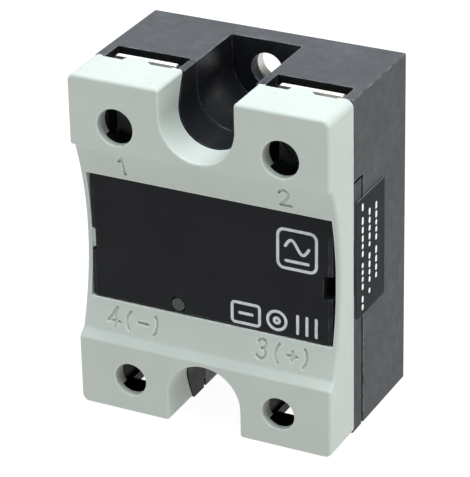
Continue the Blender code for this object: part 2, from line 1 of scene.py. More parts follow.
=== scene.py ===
"""Looks of the solid state relay: detailed casings, metal parts, printing and materials
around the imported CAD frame, with a studio floor, lights and camera.

Sizes are in millimetres. A depth runs from the cover's front face towards the back
plate, as in the CAD model, and a range is a (low, high) pair.
"""
import json
import random
from collections import namedtuple
from math import cos, pi, radians, sin, sqrt

import bmesh
import bpy
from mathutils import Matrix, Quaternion, Vector


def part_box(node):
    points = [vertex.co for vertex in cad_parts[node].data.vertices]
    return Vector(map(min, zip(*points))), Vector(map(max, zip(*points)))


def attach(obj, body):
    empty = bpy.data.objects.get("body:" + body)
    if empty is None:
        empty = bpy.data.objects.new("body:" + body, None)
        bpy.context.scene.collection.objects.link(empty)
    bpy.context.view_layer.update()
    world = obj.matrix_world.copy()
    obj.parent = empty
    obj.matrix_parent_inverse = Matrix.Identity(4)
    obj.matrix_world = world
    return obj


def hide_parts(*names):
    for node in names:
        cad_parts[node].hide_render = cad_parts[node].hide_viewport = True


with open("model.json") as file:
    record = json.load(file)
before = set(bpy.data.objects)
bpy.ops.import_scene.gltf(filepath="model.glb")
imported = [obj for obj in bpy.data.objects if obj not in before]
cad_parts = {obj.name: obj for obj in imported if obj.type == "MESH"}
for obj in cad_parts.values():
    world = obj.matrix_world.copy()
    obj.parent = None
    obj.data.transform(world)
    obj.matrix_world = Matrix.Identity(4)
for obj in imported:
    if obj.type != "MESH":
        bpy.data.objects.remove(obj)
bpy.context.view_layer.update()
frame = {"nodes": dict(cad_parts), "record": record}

MM = 0.001
BEYOND = 1.0        # how far a cutter runs past the face that it opens
SLIVER = 0.03       # keeps two faces that would lie in one plane apart
FRONT_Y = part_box("cover")[0].y / MM
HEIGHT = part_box("cover")[1].z / MM
COVER_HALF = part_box("cover")[1].x / MM
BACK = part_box("base_plate")[1].y / MM - FRONT_Y
HOUSING_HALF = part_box("housing_base")[1].x / MM
HOUSING_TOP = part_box("housing_base")[1].z / MM
HOUSING_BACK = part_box("housing_base")[1].y / MM - FRONT_Y
MID_Z = HEIGHT / 2
COVER_CORNER_R = 1.3
HOUSING_CORNER_R = 0.22
FIT_GAP = 0.25

# Notches and mounting holes
UPPER_NOTCH_Z = 53.4
LOWER_NOTCH_Z = 4.8
COVER_NOTCH_HALF = 6.4
HOUSING_NOTCH_HALF = 6.2
NOTCH_FLOOR = 24.8
MOUNT_HOLE_R = 2.78
UPPER_HOLE_Z = 53.0
LOWER_HOLE_Z = 5.3

# Cover
COVER_REAR = 8.6
COVER_END_WALL = 0.9
COVER_SIDE_WALL = 1.0
COVER_NOTCH_WALL = 1.1
COVER_FRONT_WALL = 1.3
COVER_EDGE_R = 0.55
NOTCH_EDGE_R = 0.38
LEDGE_EDGE_R = 0.22
FRAME_FILLET_R = 0.3
FRAME_ARC_R = 49.0
FRAME_DEEPEST = 4.1
LOWER_BLOCK_TOP = 12.0
LOWER_FRAME_EDGE = 13.2
UPPER_FRAME_EDGE = 45.7
UPPER_BLOCK_BOTTOM = 46.3
LEDGE_INSET = 0.8
WINDOW_HALF = 21.4
WINDOW_Z = (18.35, 40.3)
WINDOW_RIM = 0.15
POWER_HOLE_R = 3.1
CONTROL_HOLE_R = 2.78
HOLE_RIM = 0.2
GUIDE_ANGLES = (140, 221)
GUIDE_REAR = 2.6
GUIDE_WALL = 0.8
NOTCH_TRIM_GAP = 0.05
NOTCH_REAR = 5.8
NOTCH_REAR_ARC_R = 25.0
REAR_TAB_X = ((-16.4, -12.8), (12.2, 15.4))
REAR_TAB_DEPTH = 9.7
REAR_RAMP = 0.5
REAR_NOTCH_X = ((-20.7, -16.9), (-12.4, -8.3), (7.7, 11.7), (15.9, 19.9))
REAR_NOTCH_DEPTH = 8.2
REAR_NOTCH_HEIGHT = 1.5
CLIP_Z = (26.6, 30.0)
CLIP_REACH = 0.5
LEFT_CLIP_DEPTH = (4.2, 6.0)
RIGHT_CLIP_DEPTH = (6.4, 7.6)

# Housing
HOUSING_WALL = 1.5
NOTCH_WALL = 1.3
LID_FRONT = 8.75
LID_REAR = 12.05
LID_TOP = 43.8
BASE_FRONT = 12.75
LID_LIP_INSET = 1.5
LID_LIP_GAP = 0.06
EAR_BOTTOM = 44.2
EAR_FRONT = 8.95
PLATEAU_HALF = 21.15
PLATEAU_FRONT = 5.3
PLATEAU_BOTTOM = 13.0
PANEL_FRONT = (3.1, 3.6)
PANEL_MARGIN = 0.45
PANEL_STEP = 0.25
PANEL_EASE = 0.1
COLLAR_WALL = 1.1
LID_HOLLOW_HALF = 19.7
LID_HOLLOW_FRONT = 6.8
LID_HOLLOW_Z = (14.5, 42.4)
CLIP_NOTCH_REACH = (1.2, 1.7)
PRY_SLOT_Z = (24.4, 34.3)
PRY_SLOT_DEPTH = (8.65, 9.55)
PRY_SLOT_CUT = 0.8
BAY_X = (7.5, 20.4)
BAY_FLOOR = 13.3
BAY_BOTTOM = 50.0
WELL_X = (8.95, 17.6)
WELL_Z = (1.7, 10.9)
TOWER_WALL = 1.2
TOWER_FRONT = 2.2
TOWER_Z = (1.15, 11.6)
WIRE_SLOT_X = (9.45, 16.9)
WIRE_SLOT_REAR = 13.2
WIRE_SLOT_TOP = 5.0
LID_SLOT_FRONT = 7.5
REBATE_WALL = 1.1
PLATE_FRONT = 26.95
PLATE_GAP = 0.2
PLATE_CORNER_R = 0.8
PLATE_EDGE_R = 0.2
HOUSING_EDGE_R = 0.18
LID_EDGE_R = 0.12

# Terminals
BORE_GAP = 0.05
SHANK_GAP = 0.4     # below the head, before the thread starts
HEAD_CORNER = 0.45  # a share of the head's height
HEAD_FOOT = 0.12
THREAD_DEPTH = 0.55  # a share of the pitch, as the next two are
THREAD_RUN_IN = 0.6
THREAD_RUN_OUT = 0.8
CLAMP_CORNER_R = 0.4
CLAMP_EDGE_R = 0.1
FIRST_RIDGE = 1.1
RIDGE_PITCH = 1.3
RIDGE_HALF = 0.3
RIDGE_DEPTH = 0.22
RIDGE_MARGIN = 0.6

# A terminal's screw axis, bore, head, shank, thread, recess, and the block and pocket of its nut
Terminal = namedtuple("Terminal", "x z bore_r head_r head_depth shank_r tip pitch slot "
                                  "block_x block_depth block_z nut_half nut_rear")
POWER = Terminal(14.2, 50.4, 2.75, 4.5, (8.5, 10.55), 2.4, 19.5, 0.8,
                 1.2, (6.9, 22.0), (14.45, 22.5), (45.0, 58.0), 4.2, 18.7)
CONTROL = Terminal(13.2, 6.0, 1.7, 2.8, (8.9, 11.0), 1.4, 18.0, 0.5,
                   0.8, (8.6, 17.8), (14.15, 20.0), (0.5, 11.4), 2.95, 16.9)
TERMINALS = (("power", POWER), ("control", CONTROL))
SIDES = (("left", -1), ("right", 1))

# Status lens
LED_X = -5.7
LED_Z = 19.9
LED_R = 1.15
LED_DOME = 0.3
LED_RIM = 0.02
LED_BODY = 0.4

SMOOTH_STEPS = 48
ROUND_STEPS = 64


# ---------------- outlines

def spread(low, high, steps):
    """Evenly spaced values from low to high, both included."""
    return [low + (high - low) * i / steps for i in range(steps + 1)]


def arc(cx, cz, radius, start, end, steps):
    """Points on an arc from start to end degrees, both included."""
    angles = [radians(angle) for angle in spread(start, end, steps)]
    return [(cx + radius * cos(angle), cz + radius * sin(angle)) for angle in angles]


def circle(cx, cz, radius, steps=ROUND_STEPS):
    return arc(cx, cz, radius, 0, 360, steps)[:-1]


def rounded_rect(x_range, z_range, radius, steps=10):
    (x0, x1), (z0, z1) = x_range, z_range
    return (arc(x1 - radius, z1 - radius, radius, 0, 90, steps)
            + arc(x0 + radius, z1 - radius, radius, 90, 180, steps)
            + arc(x0 + radius, z0 + radius, radius, 180, 270, steps)
            + arc(x1 - radius, z0 + radius, radius, 270, 360, steps))


def u_outline(half, centre_z, open_z):
    """A U open towards open_z, with a half-round end about centre_z."""
    if open_z > centre_z:
        return [(half, open_z), (-half, open_z)] + arc(0, centre_z, half, 180, 360, SMOOTH_STEPS)
    return [(-half, open_z), (half, open_z)] + arc(0, centre_z, half, 0, 180, SMOOTH_STEPS)


def frame_depth(z):
    """Depth of the cover's hollowed middle face at height z."""
    return FRAME_DEEPEST - (FRAME_ARC_R - sqrt(FRAME_ARC_R ** 2 - (z - MID_Z) ** 2))


def panel_depth(z):
    """Depth of the lid's flat label panel at height z."""
    part = (z - WINDOW_Z[0]) / (WINDOW_Z[1] - WINDOW_Z[0])
    return PANEL_FRONT[0] + (PANEL_FRONT[1] - PANEL_FRONT[0]) * part


def notch_rear(rise):
    """Depth of the rear edge of a cover notch's wall, at a height above the notch's end."""
    return NOTCH_REAR + NOTCH_REAR_ARC_R - sqrt(NOTCH_REAR_ARC_R ** 2 - rise ** 2)


def notch_rear_slab(name, upper, x_half, far, offset=0.0, steps=24):
    """What lies between a notch wall's rear edge and the depth far, across the notch."""
    end_z = UPPER_NOTCH_Z - COVER_NOTCH_HALF if upper else LOWER_NOTCH_Z + COVER_NOTCH_HALF
    way = 1 if upper else -1
    low, high = -2 * BEYOND, HEIGHT - UPPER_NOTCH_Z + COVER_NOTCH_HALF + BEYOND
    profile = [(notch_rear(rise) + offset, end_z + way * rise) for rise in spread(low, high, steps)]
    profile += [(far, end_z + way * high), (far, end_z + way * low)]
    return slab(name, profile, about(0, x_half))


def face_curve(depth_at, low, high, offset=0.0, steps=32):
    """(depth, z) points up a curved face, moved back by offset."""
    return [(depth_at(z) + offset, z) for z in spread(low, high, steps)]


def mirrored(x_range, sign):
    return tuple(sorted(sign * x for x in x_range))


def about(centre, half):
    return centre - half, centre + half


# ---------------- solids

def point(x, depth, z):
    return Vector((x, depth + FRONT_Y, z)) * MM


def add_to_scene(name, data):
    obj = bpy.data.objects.new(name, data)
    bpy.context.collection.objects.link(obj)
    return obj


def new_object(name, bm):
    bmesh.ops.recalc_face_normals(bm, faces=bm.faces)
    mesh = bpy.data.meshes.new(name)
    bm.to_mesh(mesh)
    bm.free()
    return add_to_scene(name, mesh)


def add_skin(bm, rings, closed=False):
    """Adds a skin through equal rings of points; an open one gets a cap at each end."""
    loops = [[bm.verts.new(p) for p in ring] for ring in rings]
    pairs = list(zip(loops, loops[1:]))
    if closed:
        pairs.append((loops[-1], loops[0]))
    for first, second in pairs:
        for i in range(len(first)):
            j = (i + 1) % len(first)
            bm.faces.new((first[i], first[j], second[j], second[i]))
    if not closed:
        bm.faces.new(loops[0])
        bm.faces.new(loops[-1])


def skin(name, rings, closed=False):
    bm = bmesh.new()
    add_skin(bm, rings, closed)
    return new_object(name, bm)


def prism(name, outline, depth_range):
    """An (x, z) outline extruded over a range of depths."""
    return skin(name, [[point(x, d, z) for x, z in outline] for d in depth_range])


def slab(name, profile, x_range):
    """A (depth, z) profile extruded across the width."""
    return skin(name, [[point(x, d, z) for d, z in profile] for x in x_range])


def strap(name, profile, z_range):
    """An (x, depth) profile extruded upwards."""
    return skin(name, [[point(x, d, z) for x, d in profile] for z in z_range])


def box(name, x_range, depth_range, z_range):
    (x0, x1), (z0, z1) = x_range, z_range
    return prism(name, [(x0, z0), (x1, z0), (x1, z1), (x0, z1)], depth_range)


def notch_pair(half, depth_range):
    """Prisms that run out through both ends, in the upper and the lower notch."""
    return (prism("upper_notch", u_outline(half, UPPER_NOTCH_Z, HEIGHT + BEYOND), depth_range),
            prism("lower_notch", u_outline(half, LOWER_NOTCH_Z, -BEYOND), depth_range))


def turned(name, profile, cx, cz, steps=ROUND_STEPS):
    """A (radius, depth) profile turned about the depth axis, closed by flat ends."""
    return skin(name, [[point(x, d, z) for x, z in circle(cx, cz, r, steps)] for r, d in profile])


def flared(name, outline_at, stations):
    """A solid through (depth, growth) stations of an outline that can grow."""
    return skin(name, [[point(x, d, z) for x, z in outline_at(grow)] for d, grow in stations])


def eased(front, rear, radius, beyond=0.0, steps=4):
    """Stations whose edges are rounded by radius: inwards on a plate, outwards on its cutters."""
    turns = [pi / 2 * i / steps for i in range(steps + 1)]
    way = 1 if beyond else -1
    start = [(front + radius * (1 - cos(t)), way * radius * (1 - sin(t))) for t in turns]
    end = [(rear + front - depth, grow) for depth, grow in reversed(start)]
    if beyond:
        start = [(front - beyond, radius)] + start
        end = end + [(rear + beyond, radius)]
    return start + end


def plate(name, x_range, z_range, corner, depth_range, radius):
    """A flat plate with rounded corners and eased edges."""
    def outline(grow):
        (x0, x1), (z0, z1) = x_range, z_range
        return rounded_rect((x0 - grow, x1 + grow), (z0 - grow, z1 + grow), corner + grow, 6)
    return flared(name, outline, eased(*depth_range, radius))


def apply_modifiers(obj):
    depsgraph = bpy.context.evaluated_depsgraph_get()
    result = bpy.data.meshes.new_from_object(obj.evaluated_get(depsgraph))
    obj.modifiers.clear()
    obj.data = result


def combine(base, other, operation):
    """Boolean of two solids; the second one is used up."""
    modifier = base.modifiers.new(operation.title(), "BOOLEAN")
    modifier.operation = operation
    modifier.solver = "MANIFOLD"
    modifier.object = other
    apply_modifiers(base)
    bpy.data.objects.remove(other)


def cut(base, *cutters):
    for cutter in cutters:
        combine(base, cutter, "DIFFERENCE")


def join(base, *others):
    for other in others:
        combine(base, other, "UNION")


def clean(bm):
    """Merges doubled points and dissolves the seams that booleans leave on flat faces."""
    bmesh.ops.remove_doubles(bm, verts=bm.verts, dist=1e-7)
    bmesh.ops.dissolve_limit(bm, angle_limit=radians(0.3), verts=bm.verts, edges=bm.edges)


def round_edges(obj, radius_at, segments=4, limit=24.0):
    """Rounds sharp edges; radius_at(x, depth, z) gives an edge's radius at its middle, or 0."""
    bm = bmesh.new()
    bm.from_mesh(obj.data)
    clean(bm)
    weight = bm.edges.layers.float.new("bevel_weight_edge")
    radii = {}
    for edge in bm.edges:
        if len(edge.link_faces) == 2 and edge.calc_face_angle() > radians(limit):
            middle = (edge.verts[0].co + edge.verts[1].co) / 2 / MM
            radii[edge] = radius_at(middle.x, middle.y - FRONT_Y, middle.z)
    widest = max(radii.values())
    for edge, radius in radii.items():
        edge[weight] = radius / widest
    bm.to_mesh(obj.data)
    bm.free()
    modifier = obj.modifiers.new("Round", "BEVEL")
    modifier.limit_method = "WEIGHT"
    modifier.width = widest * MM
    modifier.segments = segments
    modifier.use_clamp_overlap = False
    apply_modifiers(obj)


# ---------------- materials

class Look:
    """A procedural material that is being put together on a Principled shader."""

    def __init__(self, name, colour, roughness, metallic=0.0, **sockets):
        self.material = bpy.data.materials.new(name)
        self.material.use_nodes = True
        self.tree = self.material.node_tree
        self.shader = self.tree.nodes["Principled BSDF"]
        self.base = colour
        sockets.update(Base_Color=(*colour, 1.0), Roughness=roughness, Metallic=metallic)
        for socket, value in sockets.items():
            self.shader.inputs[socket.replace("_", " ")].default_value = value
        coordinates = self.add("TexCoord").outputs["Object"]
        self.place = self.add("VectorMath", {0: coordinates, "Scale": 1 / MM},
                              operation="SCALE").outputs[0]

    def add(self, kind, inputs=None, **settings):
        node = self.tree.nodes.new("ShaderNode" + kind)
        for key, value in settings.items():
            setattr(node, key, value)
        for key, value in (inputs or {}).items():
            self.feed(node.inputs[key], value)
        return node

    def feed(self, socket, value):
        if isinstance(value, bpy.types.NodeSocket):
            self.tree.links.new(value, socket)
        else:
            socket.default_value = value

    def noise(self, per_mm, detail=3.0, roughness=0.55, stretch=None, distortion=0.0):
        """Noise with so many grains to the millimetre, drawn out by stretch along an axis."""
        place = self.place
        if stretch is not None:
            place = self.add("Mapping", {"Vector": place, "Scale": stretch}).outputs[0]
        node = self.add("TexNoise", {"Vector": place, "Scale": per_mm, "Detail": detail,
                                     "Roughness": roughness, "Distortion": distortion})
        return node.outputs[0]

    def ramp(self, value, low, high, to_low=0.0, to_high=1.0):
        node = self.add("MapRange", {"Value": value, "From Min": low, "From Max": high,
                                     "To Min": to_low, "To Max": to_high})
        return node.outputs[0]

    def multiply(self, a, b):
        return self.add("Math", {0: a, 1: b}, operation="MULTIPLY").outputs[0]

    def specks(self, per_mm, size, share):
        """Small separate dots, size of a cell wide, in a share of the cells."""
        cells = self.add("TexVoronoi", {"Vector": self.place, "Scale": per_mm})
        chosen = self.ramp(cells.outputs["Color"], 1 - share, 1 - share + 0.02)
        return self.multiply(self.ramp(cells.outputs["Distance"], size, 0.6 * size), chosen)

    def edges(self, radius, low=0.01, high=0.16):
        """1 along convex and concave edges within radius millimetres, fading to 0."""
        rounded = self.add("Bevel", {"Radius": radius * MM}, samples=6).outputs[0]
        plain = self.add("NewGeometry").outputs["Normal"]
        dot = self.add("VectorMath", {0: rounded, 1: plain}, operation="DOT_PRODUCT")
        return self.ramp(dot.outputs["Value"], 1 - low, 1 - high)

    def tint(self, factor, colour):
        """Lays another colour over what is there, by factor."""
        socket = self.shader.inputs["Base Color"]
        below = socket.links[0].from_socket if socket.links else (*self.base, 1.0)
        mixed = self.add("Mix", {0: factor, 6: below, 7: (*colour, 1.0)}, data_type="RGBA")
        self.feed(socket, mixed.outputs[2])

    def cloud(self, factor, per_mm, detail, low, high, most=1.0, roughness=0.55):
        """Soft patches where the base colour is scaled by factor, by a share of up to most."""
        patches = self.ramp(self.noise(per_mm, detail, roughness), low, high, 0.0, most)
        self.tint(patches, scaled(self.base, factor))

    def edge_wear_and_highlight(self, colour, radius, high, rub_and_highlight):
        """Another colour along the edges, by the share given: worn by rubbing, and a painted edge
        highlight.
        """
        self.tint(self.multiply(self.edges(radius, 0.004, high), rub_and_highlight), colour)

    def vary_roughness(self, value, low, high):
        self.feed(self.shader.inputs["Roughness"], self.ramp(value, 0.3, 0.7, low, high))

    def bump(self, *layers, soften=0.0):
        """Bumps of (height, micrometres), over edges softened by a radius in millimetres."""
        normal = None
        if soften:
            normal = self.add("Bevel", {"Radius": soften * MM}, samples=6).outputs[0]
        for height, micrometres in layers:
            inputs = {"Height": height, "Distance": micrometres * 1e-6, "Strength": 1.0}
            if normal is not None:
                inputs["Normal"] = normal
            normal = self.add("Bump", inputs).outputs[0]
        self.feed(self.shader.inputs["Normal"], normal)
        return self.material


def scaled(colour, factor):
    return tuple(min(1.0, c * factor) for c in colour)


def cover_plastic():
    """Light grey spark-eroded moulding, a little lighter along its edges: worn by rubbing, and a painted
    edge highlight.
    """
    base = (0.46, 0.502, 0.46)
    look = Look("cover_plastic", base, 0.5, Specular_IOR_Level=0.42)
    look.cloud(0.95, 0.09, 2.0, 0.35, 0.7)
    look.tint(look.ramp(look.noise(0.55, 4.0), 0.5, 0.75, 0, 0.55), (0.468, 0.49, 0.438))
    look.cloud(0.88, 2.6, 2.0, 0.62, 0.78, 0.35)
    # Lighter edges in pale grey: worn by rubbing, and a painted highlight along the rims.
    rub_and_highlight = look.ramp(look.noise(0.8), 0.3, 0.6, 0.35, 0.85)
    look.edge_wear_and_highlight((0.72, 0.77, 0.73), 0.3, 0.06, rub_and_highlight)
    look.tint(look.specks(0.22, 0.035, 0.4), scaled(base, 0.3))
    look.vary_roughness(look.noise(0.7, 3.0), 0.42, 0.58)
    grain = look.noise(5.0, 3.0, 0.6)
    return look.bump((look.noise(0.25, 1.0), 18), (grain, 9), soften=0.12)


def housing_plastic(name, base):
    """Charcoal glass-filled moulding with a fine grain, flow marks, scuffs, and much lighter edges: worn
    by rubbing, and a painted edge highlight.
    """
    look = Look(name, base, 0.5, Specular_IOR_Level=0.21)
    look.cloud(1.4, 0.12, 3.0, 0.35, 0.7)
    look.cloud(1.6, 0.5, 5.0, 0.45, 0.75, 0.7, 0.7)
    look.cloud(2.0, 2.2, 3.0, 0.58, 0.78, 0.6, 0.65)
    scuffs = look.ramp(look.noise(0.9, 5.0, 0.7, stretch=(3.0, 1.0, 0.35), distortion=0.6), 0.6, 0.72)
    patches = look.ramp(look.noise(0.16, 2.0), 0.42, 0.6)
    broken = look.ramp(look.noise(3.0), 0.3, 0.7, 0.1, 0.6)
    look.tint(look.multiply(look.multiply(scuffs, patches), broken), scaled(base, 4.5))
    look.tint(look.specks(0.5, 0.05, 0.35), scaled(base, 4.0))
    # Edges eleven times lighter: worn by rubbing, and a painted edge highlight.
    rub_and_highlight = look.ramp(look.noise(0.45, 4.0, 0.65), 0.4, 0.6, 0.1, 0.9)
    look.edge_wear_and_highlight(scaled(base, 11.0), 0.3, 0.05, rub_and_highlight)
    look.vary_roughness(look.noise(0.5, 4.0), 0.4, 0.56)
    return look.bump((look.noise(0.3, 2.0), 22), (look.noise(4.2, 4.0, 0.7), 14), soften=0.1)


def smooth_plastic(name, base, roughness, specular):
    """The housing's smoother, blacker surfaces: the lid's panel, and the base's notches and bays, whose
    black is partly painted shade.
    """
    look = Look(name, base, roughness, Specular_IOR_Level=specular)
    look.cloud(1.25, 0.1, 2.0, 0.35, 0.7)
    look.cloud(1.6, 1.6, 4.0, 0.55, 0.8, 0.5)
    # Edges eleven times lighter: worn by rubbing, and a painted edge highlight.
    rub_and_highlight = look.ramp(look.noise(0.6, 3.0), 0.4, 0.6, 0.1, 0.6)
    look.edge_wear_and_highlight(scaled(base, 11.0), 0.25, 0.05, rub_and_highlight)
    look.vary_roughness(look.noise(0.4, 3.0), roughness - 0.06, roughness + 0.06)
    return look.bump((look.noise(0.2, 1.0), 10), (look.noise(5.0, 3.0), 5), soften=0.1)


def plated_metal(name, base, roughness, stretch, per_mm=3.0, tarnish=0.85, micrometres=3.0):
    """Plated metal with fine drawn lines, cloudy patches and brighter edges: worn by rubbing, and a
    painted edge highlight.
    """
    look = Look(name, base, roughness, metallic=1.0)
    look.cloud(tarnish, 0.2, 3.0, 0.35, 0.7)
    look.cloud(tarnish * 0.9, 1.1, 4.0, 0.55, 0.8, 0.5, 0.6)
    # Brighter edges: worn by rubbing, and a painted edge highlight.
    look.tint(look.edges(0.2), scaled(base, 1.2))
    lines = look.noise(per_mm, 3.0, 0.6, stretch=stretch)
    look.vary_roughness(lines, roughness - 0.08, roughness + 0.12)
    return look.bump((lines, micrometres), soften=0.06)


def print_ink(name, base):
    """Pale screen-printing ink, thin and slightly uneven; the same maker gives the label's painted
    top-edge highlight.
    """
    look = Look(name, base, 0.5)
    look.cloud(0.78, 1.2, 3.0, 0.4, 0.75)
    look.vary_roughness(look.noise(2.0), 0.4, 0.6)
    return look.bump((look.noise(6.0, 2.0), 4))


def label_film():
    """Dark laminated film with a soft sheen, and a painted highlight along its edges."""
    base = (0.011, 0.0125, 0.0135)
    look = Look("label_film", base, 0.52, Specular_IOR_Level=0.05)
    look.cloud(1.4, 0.15, 3.0, 0.35, 0.7)
    # Far paler along the edges: a painted edge highlight.
    look.tint(look.edges(0.1, 0.01, 0.1), scaled(base, 14.0))
    look.vary_roughness(look.noise(0.6, 4.0), 0.46, 0.58)
    return look.bump((look.noise(0.35, 3.0), 12), (look.noise(7.0, 2.0), 2))


def lens_resin():
    """Grey-green translucent resin, unlit."""
    base = (0.034, 0.04, 0.034)
    look = Look("led_lens", base, 0.3, Subsurface_Weight=0.2, Specular_IOR_Level=0.3, Coat_Weight=0.08)
    look.shader.inputs["Subsurface Radius"].default_value = (0.0006, 0.0008, 0.0006)
    look.tint(look.ramp(look.noise(0.9, 2.0), 0.4, 0.7), (0.06, 0.068, 0.06))
    look.vary_roughness(look.noise(1.5), 0.22, 0.38)
    return look.bump((look.noise(3.0, 2.0), 5))


def dull_solid(name, base, roughness, per_mm, micrometres, speckle=0.75, metallic=0.0):
    """A plain inner component: cloudy colour, uneven roughness and a fine grain."""
    look = Look(name, base, roughness, metallic=metallic)
    look.cloud(0.85, 0.25 * per_mm, 3.0, 0.35, 0.7)
    look.cloud(speckle, 3.0 * per_mm, 3.0, 0.6, 0.8, 0.6)
    # Lighter along the edges: a painted edge highlight.
    look.tint(look.edges(0.15), scaled(base, 1.35))
    look.vary_roughness(look.noise(per_mm, 3.0), roughness - 0.08, roughness + 0.1)
    return look.bump((look.noise(6.0 * per_mm, 3.0), micrometres), soften=0.06)


def circuit_board():
    """Green solder resist over faint copper tracks and the weave of the glass cloth."""
    base = (0.012, 0.09, 0.03)
    look = Look("circuit_board", base, 0.4, Coat_Weight=0.2)
    tracks = look.add("TexBrick", {"Vector": look.place, "Scale": 0.35, "Mortar Size": 0.06,
                                   "Color1": (0, 0, 0, 1), "Color2": (0, 0, 0, 1),
                                   "Mortar": (1, 1, 1, 1)}).outputs[0]
    look.tint(look.multiply(tracks, look.ramp(look.noise(0.3), 0.4, 0.6)), (0.05, 0.22, 0.07))
    look.cloud(0.6, 2.5, 2.0, 0.55, 0.8, 0.4)
    weave = look.add("TexWave", {"Vector": look.place, "Scale": 1.2, "Distortion": 0.4})
    look.vary_roughness(look.noise(0.8), 0.32, 0.48)
    return look.bump((tracks, 12), (weave.outputs[1], 3), soften=0.05)


def studio_floor():
    """Pale board, lit through from below like a light table."""
    base = (0.1, 0.1, 0.1)
    look = Look("studio_floor", base, 0.9, Specular_IOR_Level=0.0)
    look.shader.inputs["Emission Color"].default_value = (1.0, 1.0, 1.0, 1.0)
    look.shader.inputs["Emission Strength"].default_value = FLOOR_GLOW
    look.cloud(0.9, 0.02, 2.0, 0.3, 0.8)
    return look.bump((look.noise(1.5, 3.0), 12))


# Materials that share a maker: each one's name and its maker's other settings
FAMILIES = (
    (housing_plastic, {
        "housing_plastic": ((0.03, 0.033, 0.036),),
        "lid_side_plastic": ((0.0155, 0.0175, 0.0205),),
    }),
    (smooth_plastic, {
        "panel_plastic": ((0.0078, 0.0083, 0.0097), 0.42, 0.11),
        # Notches and bays: a smoother moulding, darkened by painted shade in the recesses.
        "notch_plastic": ((0.0075, 0.008, 0.0095), 0.3, 0.32),
    }),
    (plated_metal, {
        "nickel_plate": ((0.62, 0.61, 0.58), 0.3, (0.12, 1.0, 1.6)),
        "tinned_brass": ((0.93, 0.91, 0.82), 0.42, (0.3, 1.0, 1.0), 4.0, 0.95),
        "zinc_steel": ((0.62, 0.63, 0.65), 0.34, (1.0, 0.5, 1.0), 2.5, 0.8, 4.0),
        "bare_copper": ((0.72, 0.36, 0.2), 0.32, (1.0, 1.0, 0.3), 3.0, 0.7),
    }),
    (print_ink, {
        "print_ink": ((0.56, 0.58, 0.6),),
        "label_ink": ((0.86, 0.87, 0.88),),
        # The label's upper rim: a painted highlight where light from above catches it, not ink.
        "label_edge": ((0.2, 0.21, 0.22),),
    }),
    (dull_solid, {
        "alumina": ((0.8, 0.79, 0.74), 0.5, 1.4, 5.0, 0.9),
        "silicon": ((0.12, 0.13, 0.17), 0.22, 1.0, 1.0, 0.75, 0.6),
        "moulded_package": ((0.018, 0.018, 0.019), 0.5, 1.5, 10.0, 1.8),
        "resistor_body": ((0.3, 0.45, 0.52), 0.35, 1.0, 6.0),
        "varistor_coat": ((0.02, 0.06, 0.26), 0.35, 0.8, 14.0),
    }),
)


def make_looks():
    """Every material, by name."""
    looks = {"cover_plastic": cover_plastic(), "label_film": label_film(),
             "led_lens": lens_resin(), "circuit_board": circuit_board()}
    for maker, members in FAMILIES:
        for name, settings in members.items():
            looks[name] = maker(name, *settings)
    return looks


def dress(obj, *materials):
    """Gives a piece its materials and smooth shading that keeps flat faces flat."""
    obj.data.materials.clear()
    for material in materials:
        obj.data.materials.append(material)
    obj.data.shade_smooth()
    obj.data.set_sharp_from_angle(angle=radians(32))
    modifier = obj.modifiers.new("Even normals", "WEIGHTED_NORMAL")
    modifier.keep_sharp = True
    modifier.weight = 60


def paint(obj, second_at):
    """Puts the second material on the faces whose middle second_at(x, depth, z) picks."""
    for face in obj.data.polygons:
        x, y, z = face.center / MM
        if second_at(x, y - FRONT_Y, z):
            face.material_index = 1


def stand_for(obj, body, slot, *nodes):
    """Says what a piece rides on and hides the CAD nodes that it replaces; slot is not used."""
    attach(obj, body)
    if nodes:
        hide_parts(*nodes)


# ---------------- strokes on a face

Stroke = namedtuple("Stroke", "points closed")


def line(*points):
    return Stroke(list(points), False)


def bend(cx, cz, radius, start, end, steps=14):
    return Stroke(arc(cx, cz, radius, start, end, steps), False)


def ring(cx, cz, radius, steps=36):
    return Stroke(circle(cx, cz, radius, steps), True)


def moved(stroke, dx, dz):
    return Stroke([(x + dx, z + dz) for x, z in stroke.points], stroke.closed)


def directions(stroke):
    """Unit direction of travel at each point of a stroke."""
    points, count = stroke.points, len(stroke.points)
    result = []
    for i in range(count):
        before = points[i - 1] if i or stroke.closed else points[i]
        after = points[(i + 1) % count] if i < count - 1 or stroke.closed else points[i]
        result.append((Vector(after) - Vector(before)).normalized())
    return result


def stroke_rings(stroke, section, to_world):
    """Sections of (across, out) points along a stroke, with round ends."""
    half = max(abs(across) for across, _ in section)
    headings = directions(stroke)
    stations = [(Vector(p), h, 1.0) for p, h in zip(stroke.points, headings)]
    if not stroke.closed:
        (first, first_h, _), (last, last_h, _) = stations[0], stations[-1]
        turns = [radians(a) for a in (30, 60, 84)]
        start = [(first - first_h * half * sin(t), first_h, cos(t)) for t in reversed(turns)]
        end = [(last + last_h * half * sin(t), last_h, cos(t)) for t in turns]
        stations = start + stations + end
    rings = []
    for place, heading, width in stations:
        side = Vector((-heading.y, heading.x))
        rings.append([to_world(place + side * across * width, out) for across, out in section])
    return rings


def on_face(depth_at):
    """Puts a stroke's flat points on a face whose depth depends on the height."""
    return lambda place, out: point(place.x, depth_at(place.y) + out, place.y)


def printed(name, strokes, half_width, to_world):
    """Thin ink along strokes, just proud of a face."""
    proud, sunk = -0.02, 0.03
    section = [(-half_width, proud), (half_width, proud), (half_width, sunk), (-half_width, sunk)]
    bm = bmesh.new()
    for stroke in strokes:
        add_skin(bm, stroke_rings(stroke, section, to_world), stroke.closed)
    return new_object(name, bm)


